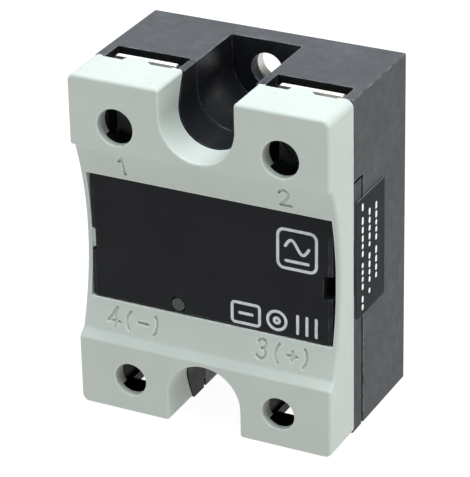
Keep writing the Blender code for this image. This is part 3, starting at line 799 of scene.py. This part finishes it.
GLYPH_HALF = 0.27
GROOVE_SIDE = [(1.25, -0.5), (1.08, -0.02), (0.98, 0.15), (0.82, 0.32), (0.4, 0.4)]
GROOVE = ([(GLYPH_HALF * across, out) for across, out in GROOVE_SIDE]
          + [(-GLYPH_HALF * across, out) for across, out in reversed(GROOVE_SIDE)])
GLYPH_HEIGHT = 3.0
GLYPH_GAP = 0.6
ENGRAVINGS = (("1", -14.2, 43.0), ("2", 14.0, 43.2), ("4(-)", -13.2, 15.7), ("3(+)", 13.2, 15.8))

# Numerals and signs as strokes, on a body 3 high, each with its advance width
GLYPHS = {
    "1": (2.0, [line((0.45, 2.3), (1.15, 3.0)), line((1.15, 3.0), (1.15, 0.0))]),
    "2": (2.4, [line(*arc(1.05, 2.15, 0.82, 165, -35, 14), (0.2, 0.0)), line((0.2, 0.0), (1.95, 0.0))]),
    "3": (2.4, [bend(0.95, 2.28, 0.72, 150, -85), bend(0.95, 0.8, 0.82, 90, -150)]),
    "4": (2.4, [line((1.4, 0.0), (1.4, 3.0)), line((1.4, 3.0), (0.1, 0.85)),
                line((0.1, 0.85), (2.0, 0.85))]),
    "(": (1.6, [bend(2.6, 1.35, 2.2, 140, 220)]),
    ")": (1.4, [bend(-1.4, 1.35, 2.2, 40, -40)]),
    "-": (2.3, [line((0.35, 1.35), (1.85, 1.35))]),
    "+": (2.3, [line((0.35, 1.35), (1.85, 1.35)), line((1.1, 0.6), (1.1, 2.1))]),
}


def engrave(obj, text, x, z):
    """Cuts a line of glyphs, centred on x and z, into the cover's hollowed face."""
    start = x - (sum(GLYPHS[c][0] + GLYPH_GAP for c in text) - GLYPH_GAP) / 2
    for character in text:
        advance, strokes = GLYPHS[character]
        for stroke in strokes:
            placed = moved(stroke, start, z - GLYPH_HEIGHT / 2)
            cut(obj, skin("groove", stroke_rings(placed, GROOVE, on_face(frame_depth))))
        start += advance + GLYPH_GAP


# ---------------- cover

def cover_front_cutter():
    low_slope = (LOWER_FRAME_EDGE - LOWER_BLOCK_TOP) / frame_depth(LOWER_FRAME_EDGE)
    high_slope = (UPPER_BLOCK_BOTTOM - UPPER_FRAME_EDGE) / frame_depth(UPPER_FRAME_EDGE)
    profile = [(-BEYOND, LOWER_BLOCK_TOP - BEYOND * low_slope)]
    profile += face_curve(frame_depth, LOWER_FRAME_EDGE, UPPER_FRAME_EDGE)
    profile += [(-BEYOND, UPPER_BLOCK_BOTTOM + BEYOND * high_slope)]
    return slab("front_cutter", profile, about(0, COVER_HALF + BEYOND))


def cover_hollow():
    rear = COVER_REAR + 2 * BEYOND
    profile = [(rear, COVER_END_WALL), (COVER_FRONT_WALL, COVER_END_WALL)]
    profile += [(COVER_FRONT_WALL, LOWER_BLOCK_TOP - LEDGE_INSET)]
    profile += face_curve(frame_depth, LOWER_FRAME_EDGE - LEDGE_INSET, UPPER_FRAME_EDGE + LEDGE_INSET,
                          COVER_FRONT_WALL)
    profile += [(COVER_FRONT_WALL, UPPER_BLOCK_BOTTOM + LEDGE_INSET)]
    profile += [(COVER_FRONT_WALL, HEIGHT - COVER_END_WALL), (rear, HEIGHT - COVER_END_WALL)]
    hollow = slab("hollow", profile, about(0, COVER_HALF - COVER_SIDE_WALL))
    cut(hollow, *notch_pair(COVER_NOTCH_HALF + COVER_NOTCH_WALL, (0, rear + BEYOND)))
    return hollow


def rimmed_hole(cx, cz, radius):
    """A drill with a rounded flare, which leaves a soft rim on the front face."""
    over, before = 0.01, -0.001
    flare = [(radius + HOLE_RIM + over, -BEYOND), (radius + HOLE_RIM + over, before)]
    flare += [(radius + HOLE_RIM * (1 - sin(a)), HOLE_RIM * (1 - cos(a)))
              for a in (radians(15 * i) for i in range(7))]
    return turned("hole", flare + [(radius, COVER_FRONT_WALL + BEYOND)], cx, cz)


def guide_ribs(cx, cz, radius):
    """The two ribs behind a screwdriver hole, which carry its wall further in."""
    ribs = []
    for turn in (0, 180):
        start, end = (angle + turn for angle in GUIDE_ANGLES)
        outline = arc(cx, cz, radius + GUIDE_WALL, start, end, 16)
        outline += arc(cx, cz, radius + SLIVER, end, start, 16)
        ribs.append(prism("guide_rib", outline, (COVER_FRONT_WALL - FIT_GAP, GUIDE_REAR)))
    return ribs


def window_cutter():
    """The window's opening, with its front edges eased along the curved face."""
    stations = ((-1.5, WINDOW_RIM * 1.6), (0.0, WINDOW_RIM), (WINDOW_RIM * 0.35, WINDOW_RIM * 0.4),
                (WINDOW_RIM, 0.06), (7.0, 0.0))
    rings = []
    for out, grow in stations:
        heights = spread(WINDOW_Z[0] - grow, WINDOW_Z[1] + grow * 0.4, 24)
        half = WINDOW_HALF + grow * 0.3
        ring_points = [point(half, frame_depth(z) + out, z) for z in heights]
        ring_points += [point(-half, frame_depth(z) + out, z) for z in reversed(heights)]
        rings.append(ring_points)
    return skin("window", rings)


def rear_edge_cutters():
    """Trims the rear edge: straight, except for the tabs and notches of the upper end."""
    across = COVER_HALF + BEYOND
    far = REAR_TAB_DEPTH + BEYOND
    edge = [(-across, COVER_REAR)]
    steps = sorted([(x, REAR_NOTCH_DEPTH, 0.0) for x in REAR_NOTCH_X]
                   + [(x, REAR_TAB_DEPTH, REAR_RAMP) for x in REAR_TAB_X])
    for (low, high), depth, ramp in steps:
        edge += [(low - ramp, COVER_REAR), (low, depth), (high, depth), (high, COVER_REAR)]
    edge += [(across, COVER_REAR), (across, far), (-across, far)]
    straight = [(-across, COVER_REAR), (across, COVER_REAR), (across, far), (-across, far)]
    return (strap("rear_trim", straight, (-BEYOND, HEIGHT - 1.3 * COVER_END_WALL)),
            strap("upper_rear_trim", edge, (HEIGHT - REAR_NOTCH_HEIGHT, HEIGHT + BEYOND)))


def cover_edge_radius(x, depth, z):
    """Radii of the front shell's edges: small where a notch passes close to a ledge."""
    at_front = depth < FIT_GAP
    if depth > COVER_REAR - BEYOND:
        return 0.0
    if at_front and min(abs(z - LOWER_BLOCK_TOP), abs(z - UPPER_BLOCK_BOTTOM)) < FIT_GAP:
        return LEDGE_EDGE_R
    if abs(x) > COVER_HALF - COVER_CORNER_R or min(z, HEIGHT - z) < FIT_GAP:
        return COVER_EDGE_R
    if at_front and abs(x) < COVER_NOTCH_HALF + FIT_GAP:
        return NOTCH_EDGE_R
    return FRAME_FILLET_R


def build_cover(looks):
    outline = rounded_rect(about(0, COVER_HALF), (0, HEIGHT), COVER_CORNER_R)
    cover = prism("cover_shell", outline, (0, REAR_TAB_DEPTH))
    through = (-BEYOND, REAR_TAB_DEPTH + BEYOND)
    cut(cover, cover_front_cutter(), *notch_pair(COVER_NOTCH_HALF, through))
    round_edges(cover, cover_edge_radius, 5)
    trim_half = COVER_NOTCH_HALF + COVER_NOTCH_WALL + NOTCH_TRIM_GAP
    far = REAR_TAB_DEPTH + BEYOND
    cut(cover, *rear_edge_cutters(), cover_hollow(), window_cutter(),
        *(notch_rear_slab("notch_trim", upper, trim_half, far) for upper in (True, False)))
    for _, sign in SIDES:
        for terminal, radius in ((POWER, POWER_HOLE_R), (CONTROL, CONTROL_HOLE_R)):
            cut(cover, rimmed_hole(sign * terminal.x, terminal.z, radius))
            join(cover, *guide_ribs(sign * terminal.x, terminal.z, radius))
    for (_, sign), clip_depth in zip(SIDES, (LEFT_CLIP_DEPTH, RIGHT_CLIP_DEPTH)):
        clip_x = mirrored((WINDOW_HALF - CLIP_REACH, WINDOW_HALF + CLIP_REACH), sign)
        join(cover, box("clip", clip_x, clip_depth, CLIP_Z))
    for text, x, z in ENGRAVINGS:
        engrave(cover, text, x, z)
    dress(cover, looks["cover_plastic"])
    stand_for(cover, "cover", "cover_plastic", "cover")


# ---------------- housing

def lid_outline():
    radius = HOUSING_CORNER_R
    corner = HOUSING_HALF - radius
    return (arc(corner, radius, radius, 270, 360, 8)
            + [(HOUSING_HALF, LID_TOP), (-HOUSING_HALF, LID_TOP)]
            + arc(-corner, radius, radius, 180, 270, 8))


def notch_collar(upper):
    """The lid's wall round a notch, which comes forward to meet the cover's wall."""
    centre_z, open_z = (UPPER_NOTCH_Z, HOUSING_TOP) if upper else (LOWER_NOTCH_Z, 0)
    outline = u_outline(HOUSING_NOTCH_HALF + COLLAR_WALL, centre_z, open_z)
    collar = prism("collar", outline, (NOTCH_REAR - BEYOND, LID_FRONT + BEYOND))
    cut(collar, notch_rear_slab("collar_front", upper, BAY_X[0] + BEYOND, 0, FIT_GAP / 2))
    return collar


def outside_of_lid(x, depth, z):
    edge = 0.5 * FIT_GAP
    return abs(x) > HOUSING_HALF - edge or z < edge or z > HOUSING_TOP - edge


def notch_or_bay(x, depth, z):
    """Faces of the base's smooth notches and terminal bays, much darker than the rest of the base:
    partly painted shade in these recesses.
    """
    edge = 0.2 * FIT_GAP
    if not edge < z < HOUSING_TOP - edge:
        return False
    in_notch = abs(x) < HOUSING_NOTCH_HALF + edge and depth < NOTCH_FLOOR + edge
    return in_notch or (abs(x) < BAY_X[1] + edge and z > BAY_BOTTOM - edge and depth < BAY_FLOOR + edge)


def panel_slab():
    """The raised label panel, with a narrow lower margin down its two sides."""
    low, high = WINDOW_Z[0] + FIT_GAP, WINDOW_Z[1] - FIT_GAP
    back = PLATEAU_FRONT + BEYOND
    rings = []
    inner = PLATEAU_HALF - PANEL_MARGIN
    side = ((PLATEAU_HALF, PANEL_STEP + PANEL_EASE), (PLATEAU_HALF - PANEL_EASE, PANEL_STEP),
            (inner, PANEL_STEP), (inner - PANEL_EASE, 0.0))
    for x, offset in [(-x, offset) for x, offset in side] + list(reversed(side)):
        profile = [(back, low)] + face_curve(panel_depth, low, high, offset) + [(back, high)]
        rings.append([point(x, d, z) for d, z in profile])
    return skin("panel", rings)


def build_lid(looks):
    lid = prism("lid_shell", lid_outline(), (LID_FRONT, LID_REAR))
    round_edges(lid, lambda x, depth, z: LID_EDGE_R, 3)
    lip_half = HOUSING_HALF - LID_LIP_INSET
    lip_depth = (LID_REAR - BEYOND, BASE_FRONT - LID_LIP_GAP)
    plateau_depth = (PLATEAU_FRONT, LID_FRONT + BEYOND)
    notch_wall_z = (LID_HOLLOW_Z[1] - BEYOND, HOUSING_TOP)
    join(lid,
         box("plateau", about(0, PLATEAU_HALF), plateau_depth, (PLATEAU_BOTTOM, LID_TOP)),
         panel_slab(),
         box("lip", about(0, lip_half), lip_depth, (LID_LIP_INSET, LID_TOP - LID_LIP_INSET)),
         notch_collar(True),
         notch_collar(False),
         box("notch_wall", about(0, BAY_X[0]), (LID_FRONT, BASE_FRONT - FIT_GAP), notch_wall_z))
    for _, sign in SIDES:
        tower_x = mirrored((WELL_X[0] - TOWER_WALL, WELL_X[1] + TOWER_WALL), sign)
        join(lid, box("tower", tower_x, (TOWER_FRONT, LID_FRONT + BEYOND), TOWER_Z))
    through = (0, BASE_FRONT + BEYOND)
    hollow_depth = (LID_HOLLOW_FRONT, BASE_FRONT + BEYOND)
    cut(lid,
        *notch_pair(HOUSING_NOTCH_HALF, through),
        box("hollow", about(0, LID_HOLLOW_HALF), hollow_depth, LID_HOLLOW_Z),
        prism("led_hole", circle(LED_X, LED_Z, LED_R + FIT_GAP), through))
    for (_, sign), reach in zip(SIDES, CLIP_NOTCH_REACH):
        clip_x = mirrored((WINDOW_HALF - reach, HOUSING_HALF + BEYOND), sign)
        clip_z = (CLIP_Z[0] - FIT_GAP, CLIP_Z[1] + FIT_GAP)
        pry_x = mirrored((HOUSING_HALF - PRY_SLOT_CUT, HOUSING_HALF + BEYOND), sign)
        slot_depth = (LID_SLOT_FRONT, BASE_FRONT + BEYOND)
        cut(lid,
            box("well", mirrored(WELL_X, sign), through, WELL_Z),
            box("wire_slot", mirrored(WIRE_SLOT_X, sign), slot_depth, (-BEYOND, WIRE_SLOT_TOP)),
            box("clip_notch", clip_x, (0, LID_FRONT - 2 * FIT_GAP), clip_z),
            box("pry_slot", pry_x, PRY_SLOT_DEPTH, PRY_SLOT_Z))
    dress(lid, looks["panel_plastic"], looks["lid_side_plastic"])
    paint(lid, outside_of_lid)
    stand_for(lid, "housing", "housing_plastic", "housing_lid")


def terminal_block(terminal, sign):
    front, rear = terminal.block_depth
    block = box("block", mirrored(terminal.block_x, sign), terminal.block_depth, terminal.block_z)
    axis_x = sign * terminal.x
    pocket_depth = (front - BEYOND, terminal.nut_rear)
    pocket_x, pocket_z = (about(centre, terminal.nut_half) for centre in (axis_x, terminal.z))
    cut(block,
        box("pocket", pocket_x, pocket_depth, pocket_z),
        prism("bore", circle(axis_x, terminal.z, terminal.bore_r + BORE_GAP), (front, rear + BEYOND)))
    return block


def base_hollow():
    depth_range = (BASE_FRONT - BEYOND, PLATE_FRONT - FIT_GAP)
    z_range = (HOUSING_WALL, HOUSING_TOP - HOUSING_WALL)
    hollow = box("hollow", about(0, HOUSING_HALF - HOUSING_WALL), depth_range, z_range)
    cut(hollow, *notch_pair(HOUSING_NOTCH_HALF + NOTCH_WALL, (0, BACK)))
    for _, sign in SIDES:
        cut(hollow, terminal_block(POWER, sign), terminal_block(CONTROL, sign))
    return hollow


def mount_hole_cutters():
    depth_range = (NOTCH_FLOOR - BEYOND, BACK + BEYOND)
    return (prism("upper_hole", circle(0, UPPER_HOLE_Z, MOUNT_HOLE_R), depth_range),
            prism("lower_slot", u_outline(MOUNT_HOLE_R, LOWER_HOLE_Z, -BEYOND), depth_range))


def build_base(looks):
    outline = rounded_rect(about(0, HOUSING_HALF), (0, HOUSING_TOP), HOUSING_CORNER_R)
    base = prism("base_shell", outline, (EAR_FRONT, HOUSING_BACK))
    front_depth = (0, BASE_FRONT)
    cut(base,
        box("front", about(0, BAY_X[1]), front_depth, (-BEYOND, HEIGHT)),
        box("lid_seat", about(0, HOUSING_HALF + BEYOND), front_depth, (-BEYOND, EAR_BOTTOM)),
        *notch_pair(HOUSING_NOTCH_HALF, (0, NOTCH_FLOOR)))
    back_edge = HOUSING_BACK - FIT_GAP
    round_edges(base, lambda x, depth, z: HOUSING_EDGE_R if depth > back_edge else LID_EDGE_R)
    rebate_z = (REBATE_WALL, HOUSING_TOP - REBATE_WALL)
    rebate_depth = (PLATE_FRONT - FIT_GAP, BACK + BEYOND)
    cut(base,
        base_hollow(),
        box("rebate", about(0, HOUSING_HALF - REBATE_WALL), rebate_depth, rebate_z),
        *mount_hole_cutters())
    for _, sign in SIDES:
        slot_depth = (0, WIRE_SLOT_REAR)
        cut(base,
            box("bay", mirrored(BAY_X, sign), (0, BAY_FLOOR), (BAY_BOTTOM, HEIGHT)),
            box("wire_slot", mirrored(WIRE_SLOT_X, sign), slot_depth, (-BEYOND, WIRE_SLOT_TOP)))
    dress(base, looks["housing_plastic"], looks["notch_plastic"])
    # Darker plastic in the notches and bays: painted shade in the recesses.
    paint(base, notch_or_bay)
    stand_for(base, "housing", "housing_plastic", "housing_base")


def build_base_plate(looks):
    edge = REBATE_WALL + PLATE_GAP
    x_range, z_range = about(0, HOUSING_HALF - edge), (edge, HOUSING_TOP - edge)
    sink = plate("heat_sink_plate", x_range, z_range, PLATE_CORNER_R, (PLATE_FRONT, BACK), PLATE_EDGE_R)
    stations = eased(PLATE_FRONT, BACK, PLATE_EDGE_R, BEYOND)
    cut(sink,
        flared("hole", lambda grow: circle(0, UPPER_HOLE_Z, MOUNT_HOLE_R + grow), stations),
        flared("slot", lambda grow: u_outline(MOUNT_HOLE_R + grow, LOWER_HOLE_Z, -BEYOND), stations))
    dress(sink, looks["nickel_plate"])
    stand_for(sink, "housing", "nickel_plate", "base_plate")


def build_lens(looks):
    front = panel_depth(LED_Z)
    dome = [(LED_R * sin(a), front + LED_RIM - LED_DOME * cos(a))
            for a in (radians(8 + 8.2 * i) for i in range(11))]
    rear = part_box("led_light_pipe")[1].y / MM - FRONT_Y
    lens = turned("status_lens", dome + [(LED_R, front + LED_BODY), (LED_R, rear)], LED_X, LED_Z)
    dress(lens, looks["led_lens"])
    stand_for(lens, "housing", "led_lens", "led_light_pipe")


# ---------------- printing and label

PICTOGRAM = (15.2, 33.7)
PICTOGRAM_HALF = 3.3
SMALL_MARKS_Z = 20.9
PRINT_HALF = 0.25
LABEL_SEED = 7
LABEL_ROWS = ((2.05, 1.2, 19.0), (4.65, 3.0, 17.4), (7.2, 4.6, 18.2))
LABEL_PRINT_HALF = 0.32
LABEL_DASH = (0.2, 0.7)
LABEL_DASH_GAP = 0.98
LABEL_WORD_GAP = 1.7
LABEL_WORD_END = 0.14
LABEL_CORNER_R = 0.4
LABEL_INSET = 0.02


def wave(cx, cz, length, height, steps=24):
    """One period of a sine wave."""
    return line(*((cx + length * (part - 0.5), cz + height * sin(2 * pi * part))
                  for part in spread(0, 1, steps)))


def build_printing(looks):
    """Plain symbols on the panel: a wave in a rounded frame, and three small marks."""
    cx, cz = PICTOGRAM
    half = PICTOGRAM_HALF
    frame_line = Stroke(rounded_rect(about(cx, half), about(cz, half), 1.1, 6), True)
    strokes = [frame_line, wave(cx, cz + 0.5, 4.0, 1.1)]
    strokes += [line((cx - 1.9, cz - 2.0), (cx + 1.9, cz - 2.0))]
    z = SMALL_MARKS_Z
    low, high = about(z, 1.5)
    strokes += [Stroke(rounded_rect((3.9, 8.7), about(z, 1.75), 0.5, 4), True), line((5.2, z), (7.4, z))]
    strokes += [ring(11.7, z, 1.6), ring(11.7, z, 0.45)]
    strokes += [line((x, low), (x, high)) for x in (15.3, 16.9, 18.5)]
    ink = printed("panel_print", strokes, PRINT_HALF, on_face(panel_depth))
    dress(ink, looks["print_ink"])
    stand_for(ink, "housing", "label_film")


def build_label(looks):
    """The film label on the right side, with plain bars in place of text."""
    low, high = (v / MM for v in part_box("seal_label"))
    depth_range = (low.y - FRONT_Y, high.y - FRONT_Y)
    outline = rounded_rect(depth_range, (low.z, high.z), LABEL_CORNER_R, 5)
    face = high.x - LABEL_INSET
    rings = [[point(x, d, z) for d, z in outline] for x in (low.x, face)]
    film = skin("film_label", rings)
    dress(film, looks["label_film"], looks["label_edge"])
    # Paler upper rim faces of the film: a painted highlight where light from above catches the top edge.
    paint(film, lambda x, depth, z: z > high.z - SLIVER and x < high.x - SLIVER)
    stand_for(film, "housing", "label_film", "seal_label")
    rng = random.Random(LABEL_SEED)
    bars = []
    for across, start, end in LABEL_ROWS:
        depth, place = depth_range[0] + across, start
        while place < end:
            length = rng.uniform(*LABEL_DASH)
            bars.append(line((depth, low.z + place), (depth, low.z + place + length)))
            place += length + (LABEL_DASH_GAP if rng.random() > LABEL_WORD_END else LABEL_WORD_GAP)
    ink = printed("label_print", bars, LABEL_PRINT_HALF,
                  lambda place, out: point(face - out, place.x, place.y))
    dress(ink, looks["label_ink"])
    stand_for(ink, "housing", "label_film")


# ---------------- terminals

def thread_rings(terminal, axis_x, start, end, around=48, per_turn=8):
    """Rings down a shank whose surface follows a helical thread."""
    depth_of_thread = THREAD_DEPTH * terminal.pitch
    count = int((end - start) / terminal.pitch * per_turn)
    rings = []
    for depth in spread(start, end, count):
        into, left = (depth - start) / terminal.pitch, (end - depth) / terminal.pitch
        taper = max(0.0, min(1.0, left / THREAD_RUN_OUT, into / THREAD_RUN_IN))
        ring_points = []
        for k in range(around):
            turn = (depth / terminal.pitch + k / around) % 1.0
            groove = 1 - abs(2 * turn - 1)
            radius = terminal.shank_r - depth_of_thread * (1 - (1 - groove) * taper)
            angle = 2 * pi * k / around
            ring_points.append(point(axis_x + radius * cos(angle), depth,
                                     terminal.z + radius * sin(angle)))
        rings.append(ring_points)
    return rings


def build_screw(kind, terminal, side, sign, looks):
    """A pan-head screw with a rounded head, a combined recess and a cut thread."""
    axis_x = sign * terminal.x
    (front, seat), head_r = terminal.head_depth, terminal.head_r
    height = seat - front
    corner = HEAD_CORNER * height
    dome = [(head_r * 0.25, front), (head_r * 0.62, front + 0.02 * height)]
    dome += [(head_r - corner + corner * sin(a), front + 0.06 * height + corner * (1 - cos(a)))
             for a in (radians(10 * i) for i in range(2, 10))]
    profile = dome + [(head_r, seat - HEAD_FOOT), (head_r - HEAD_FOOT, seat)]
    profile += [(terminal.shank_r * 0.9, seat)]
    rings = [[point(x, d, z) for x, z in circle(axis_x, terminal.z, r, 48)] for r, d in profile]
    rings += thread_rings(terminal, axis_x, seat + SHANK_GAP, terminal.tip)
    screw = skin("terminal_screw_%s_%s" % (kind, side), rings)
    slot_depth = (front - BEYOND, front + 0.7 * terminal.slot)
    cross_depth = (front - BEYOND, front + terminal.slot)
    narrow, wing = terminal.slot / 2, 0.55 * head_r
    cut(screw,
        box("slot", about(axis_x, 2 * head_r), slot_depth, about(terminal.z, narrow)),
        box("cross", about(axis_x, narrow), cross_depth, about(terminal.z, wing)))
    dress(screw, looks["zinc_steel"])
    node = "%s_screw_%s" % (kind, side)
    stand_for(screw, node, "zinc_steel", node)


def build_clamp(kind, terminal, side, sign, looks):
    """A pressed clamp plate with rounded edges and gripping ridges behind."""
    node = "%s_clamp_%s" % (kind, side)
    low, high = (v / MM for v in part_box(node))
    front, rear = low.y - FRONT_Y, high.y - FRONT_Y
    clamp = plate("clamp_plate_%s_%s" % (kind, side), (low.x, high.x), (low.z, high.z),
                  CLAMP_CORNER_R, (front, rear), CLAMP_EDGE_R)
    axis_x = sign * terminal.x
    cut(clamp, flared("bore", lambda grow: circle(axis_x, terminal.z, terminal.bore_r + grow),
                      eased(front, rear, CLAMP_EDGE_R, BEYOND)))
    for i in range(int((high.x - low.x - 1) / RIDGE_PITCH)):
        centre = low.x + FIRST_RIDGE + i * RIDGE_PITCH
        groove = [(x, rear + CLAMP_EDGE_R) for x in about(centre, RIDGE_HALF)]
        groove += [(centre, rear - RIDGE_DEPTH)]
        cut(clamp, strap("groove", groove, (low.z + RIDGE_MARGIN, high.z - RIDGE_MARGIN)))
    dress(clamp, looks["tinned_brass"])
    stand_for(clamp, node, "tinned_brass", node)


def build_terminals(looks):
    for kind, terminal in TERMINALS:
        for side, sign in SIDES:
            build_screw(kind, terminal, side, sign, looks)
            build_clamp(kind, terminal, side, sign, looks)


def dress_cad_nodes(looks):
    """Better materials on the CAD nodes that keep their own mesh."""
    slots = {part["node"]: part["material_slot"] for part in frame["record"]["subparts"]}
    for name, node in frame["nodes"].items():
        if not node.hide_render:
            node.data.materials.clear()
            node.data.materials.append(looks[slots[name]])


# ---------------- studio

CAMERA_YAW = 27.12
CAMERA_PITCH = 26.73
CAMERA_ROLL = -1.26
CAMERA_DISTANCE = 455.0
CAMERA_LENS = 217.6
CAMERA_TARGET = (-1.08, 14.4, 27.42)
FLOOR_GLOW = 0.96
FLOOR_REACH = 3.0
SKY_FADE = (("From Min", 0.04), ("From Max", 0.65), ("To Min", 0.79), ("To Max", 0.1))

# Lights: place and size in metres, watts and colour
LIGHTS = {
    "top_light": ((0.05, -0.05, 0.95), 0.7, 15.2, (0.9, 0.945, 1.0)),
    "right_light": ((0.9, -0.02, 0.45), 0.6, 3.5, (0.96, 1.0, 1.0)),
    "back_light": ((-0.45, 0.88, 0.5), 0.7, 2.4, (0.93, 0.97, 1.0)),
}


def build_camera():
    data = bpy.data.cameras.new("camera")
    data.lens = CAMERA_LENS
    data.sensor_fit = "HORIZONTAL"
    data.clip_start = 0.01
    data.clip_end = 20.0
    camera = add_to_scene("camera", data)
    yaw, pitch = radians(CAMERA_YAW), radians(CAMERA_PITCH)
    back = Vector((sin(yaw) * cos(pitch), -cos(yaw) * cos(pitch), sin(pitch)))
    camera.location = point(*CAMERA_TARGET) + back * CAMERA_DISTANCE * MM
    camera.rotation_mode = "QUATERNION"
    level = (-back).to_track_quat("-Z", "Y")
    camera.rotation_quaternion = level @ Quaternion((0, 0, 1), radians(CAMERA_ROLL))
    bpy.context.scene.camera = camera


def area_light(name, place, size, watts, colour):
    """A soft square light at place, turned towards the object."""
    data = bpy.data.lights.new(name, "AREA")
    data.shape = "SQUARE"
    data.size = size
    data.energy = watts
    data.color = colour
    light = add_to_scene(name, data)
    light.location = place
    target = Vector((0, 0, MID_Z * MM))
    light.rotation_mode = "QUATERNION"
    light.rotation_quaternion = (target - Vector(place)).to_track_quat("-Z", "Y")


def build_sky():
    """Soft white surroundings, as bright as the floor low down and dimmer overhead."""
    world = bpy.data.worlds.new("studio")
    world.use_nodes = True
    nodes, links = world.node_tree.nodes, world.node_tree.links
    upward = nodes.new("ShaderNodeSeparateXYZ")
    links.new(nodes.new("ShaderNodeTexCoord").outputs["Generated"], upward.inputs[0])
    fade = nodes.new("ShaderNodeMapRange")
    for socket, value in SKY_FADE:
        fade.inputs[socket].default_value = value
    links.new(upward.outputs["Z"], fade.inputs["Value"])
    links.new(fade.outputs[0], nodes["Background"].inputs["Strength"])
    nodes["Background"].inputs["Color"].default_value = (1.0, 1.0, 1.0, 1.0)
    bpy.context.scene.world = world


def build_studio():
    bm = bmesh.new()
    reach = FLOOR_REACH
    corners = [(-reach, -reach), (reach, -reach), (reach, reach), (-reach, reach)]
    bm.faces.new([bm.verts.new((x, y, 0.0)) for x, y in corners])
    floor = new_object("studio_floor", bm)
    floor.data.materials.append(studio_floor())
    build_sky()
    for name, settings in LIGHTS.items():
        area_light(name, *settings)
    bpy.context.scene.view_settings.view_transform = "Standard"


# ---------------- assembly

build_camera()
build_studio()
looks = make_looks()
build_cover(looks)
build_lid(looks)
build_base(looks)
build_base_plate(looks)
build_lens(looks)
build_printing(looks)
build_label(looks)
build_terminals(looks)
dress_cad_nodes(looks)
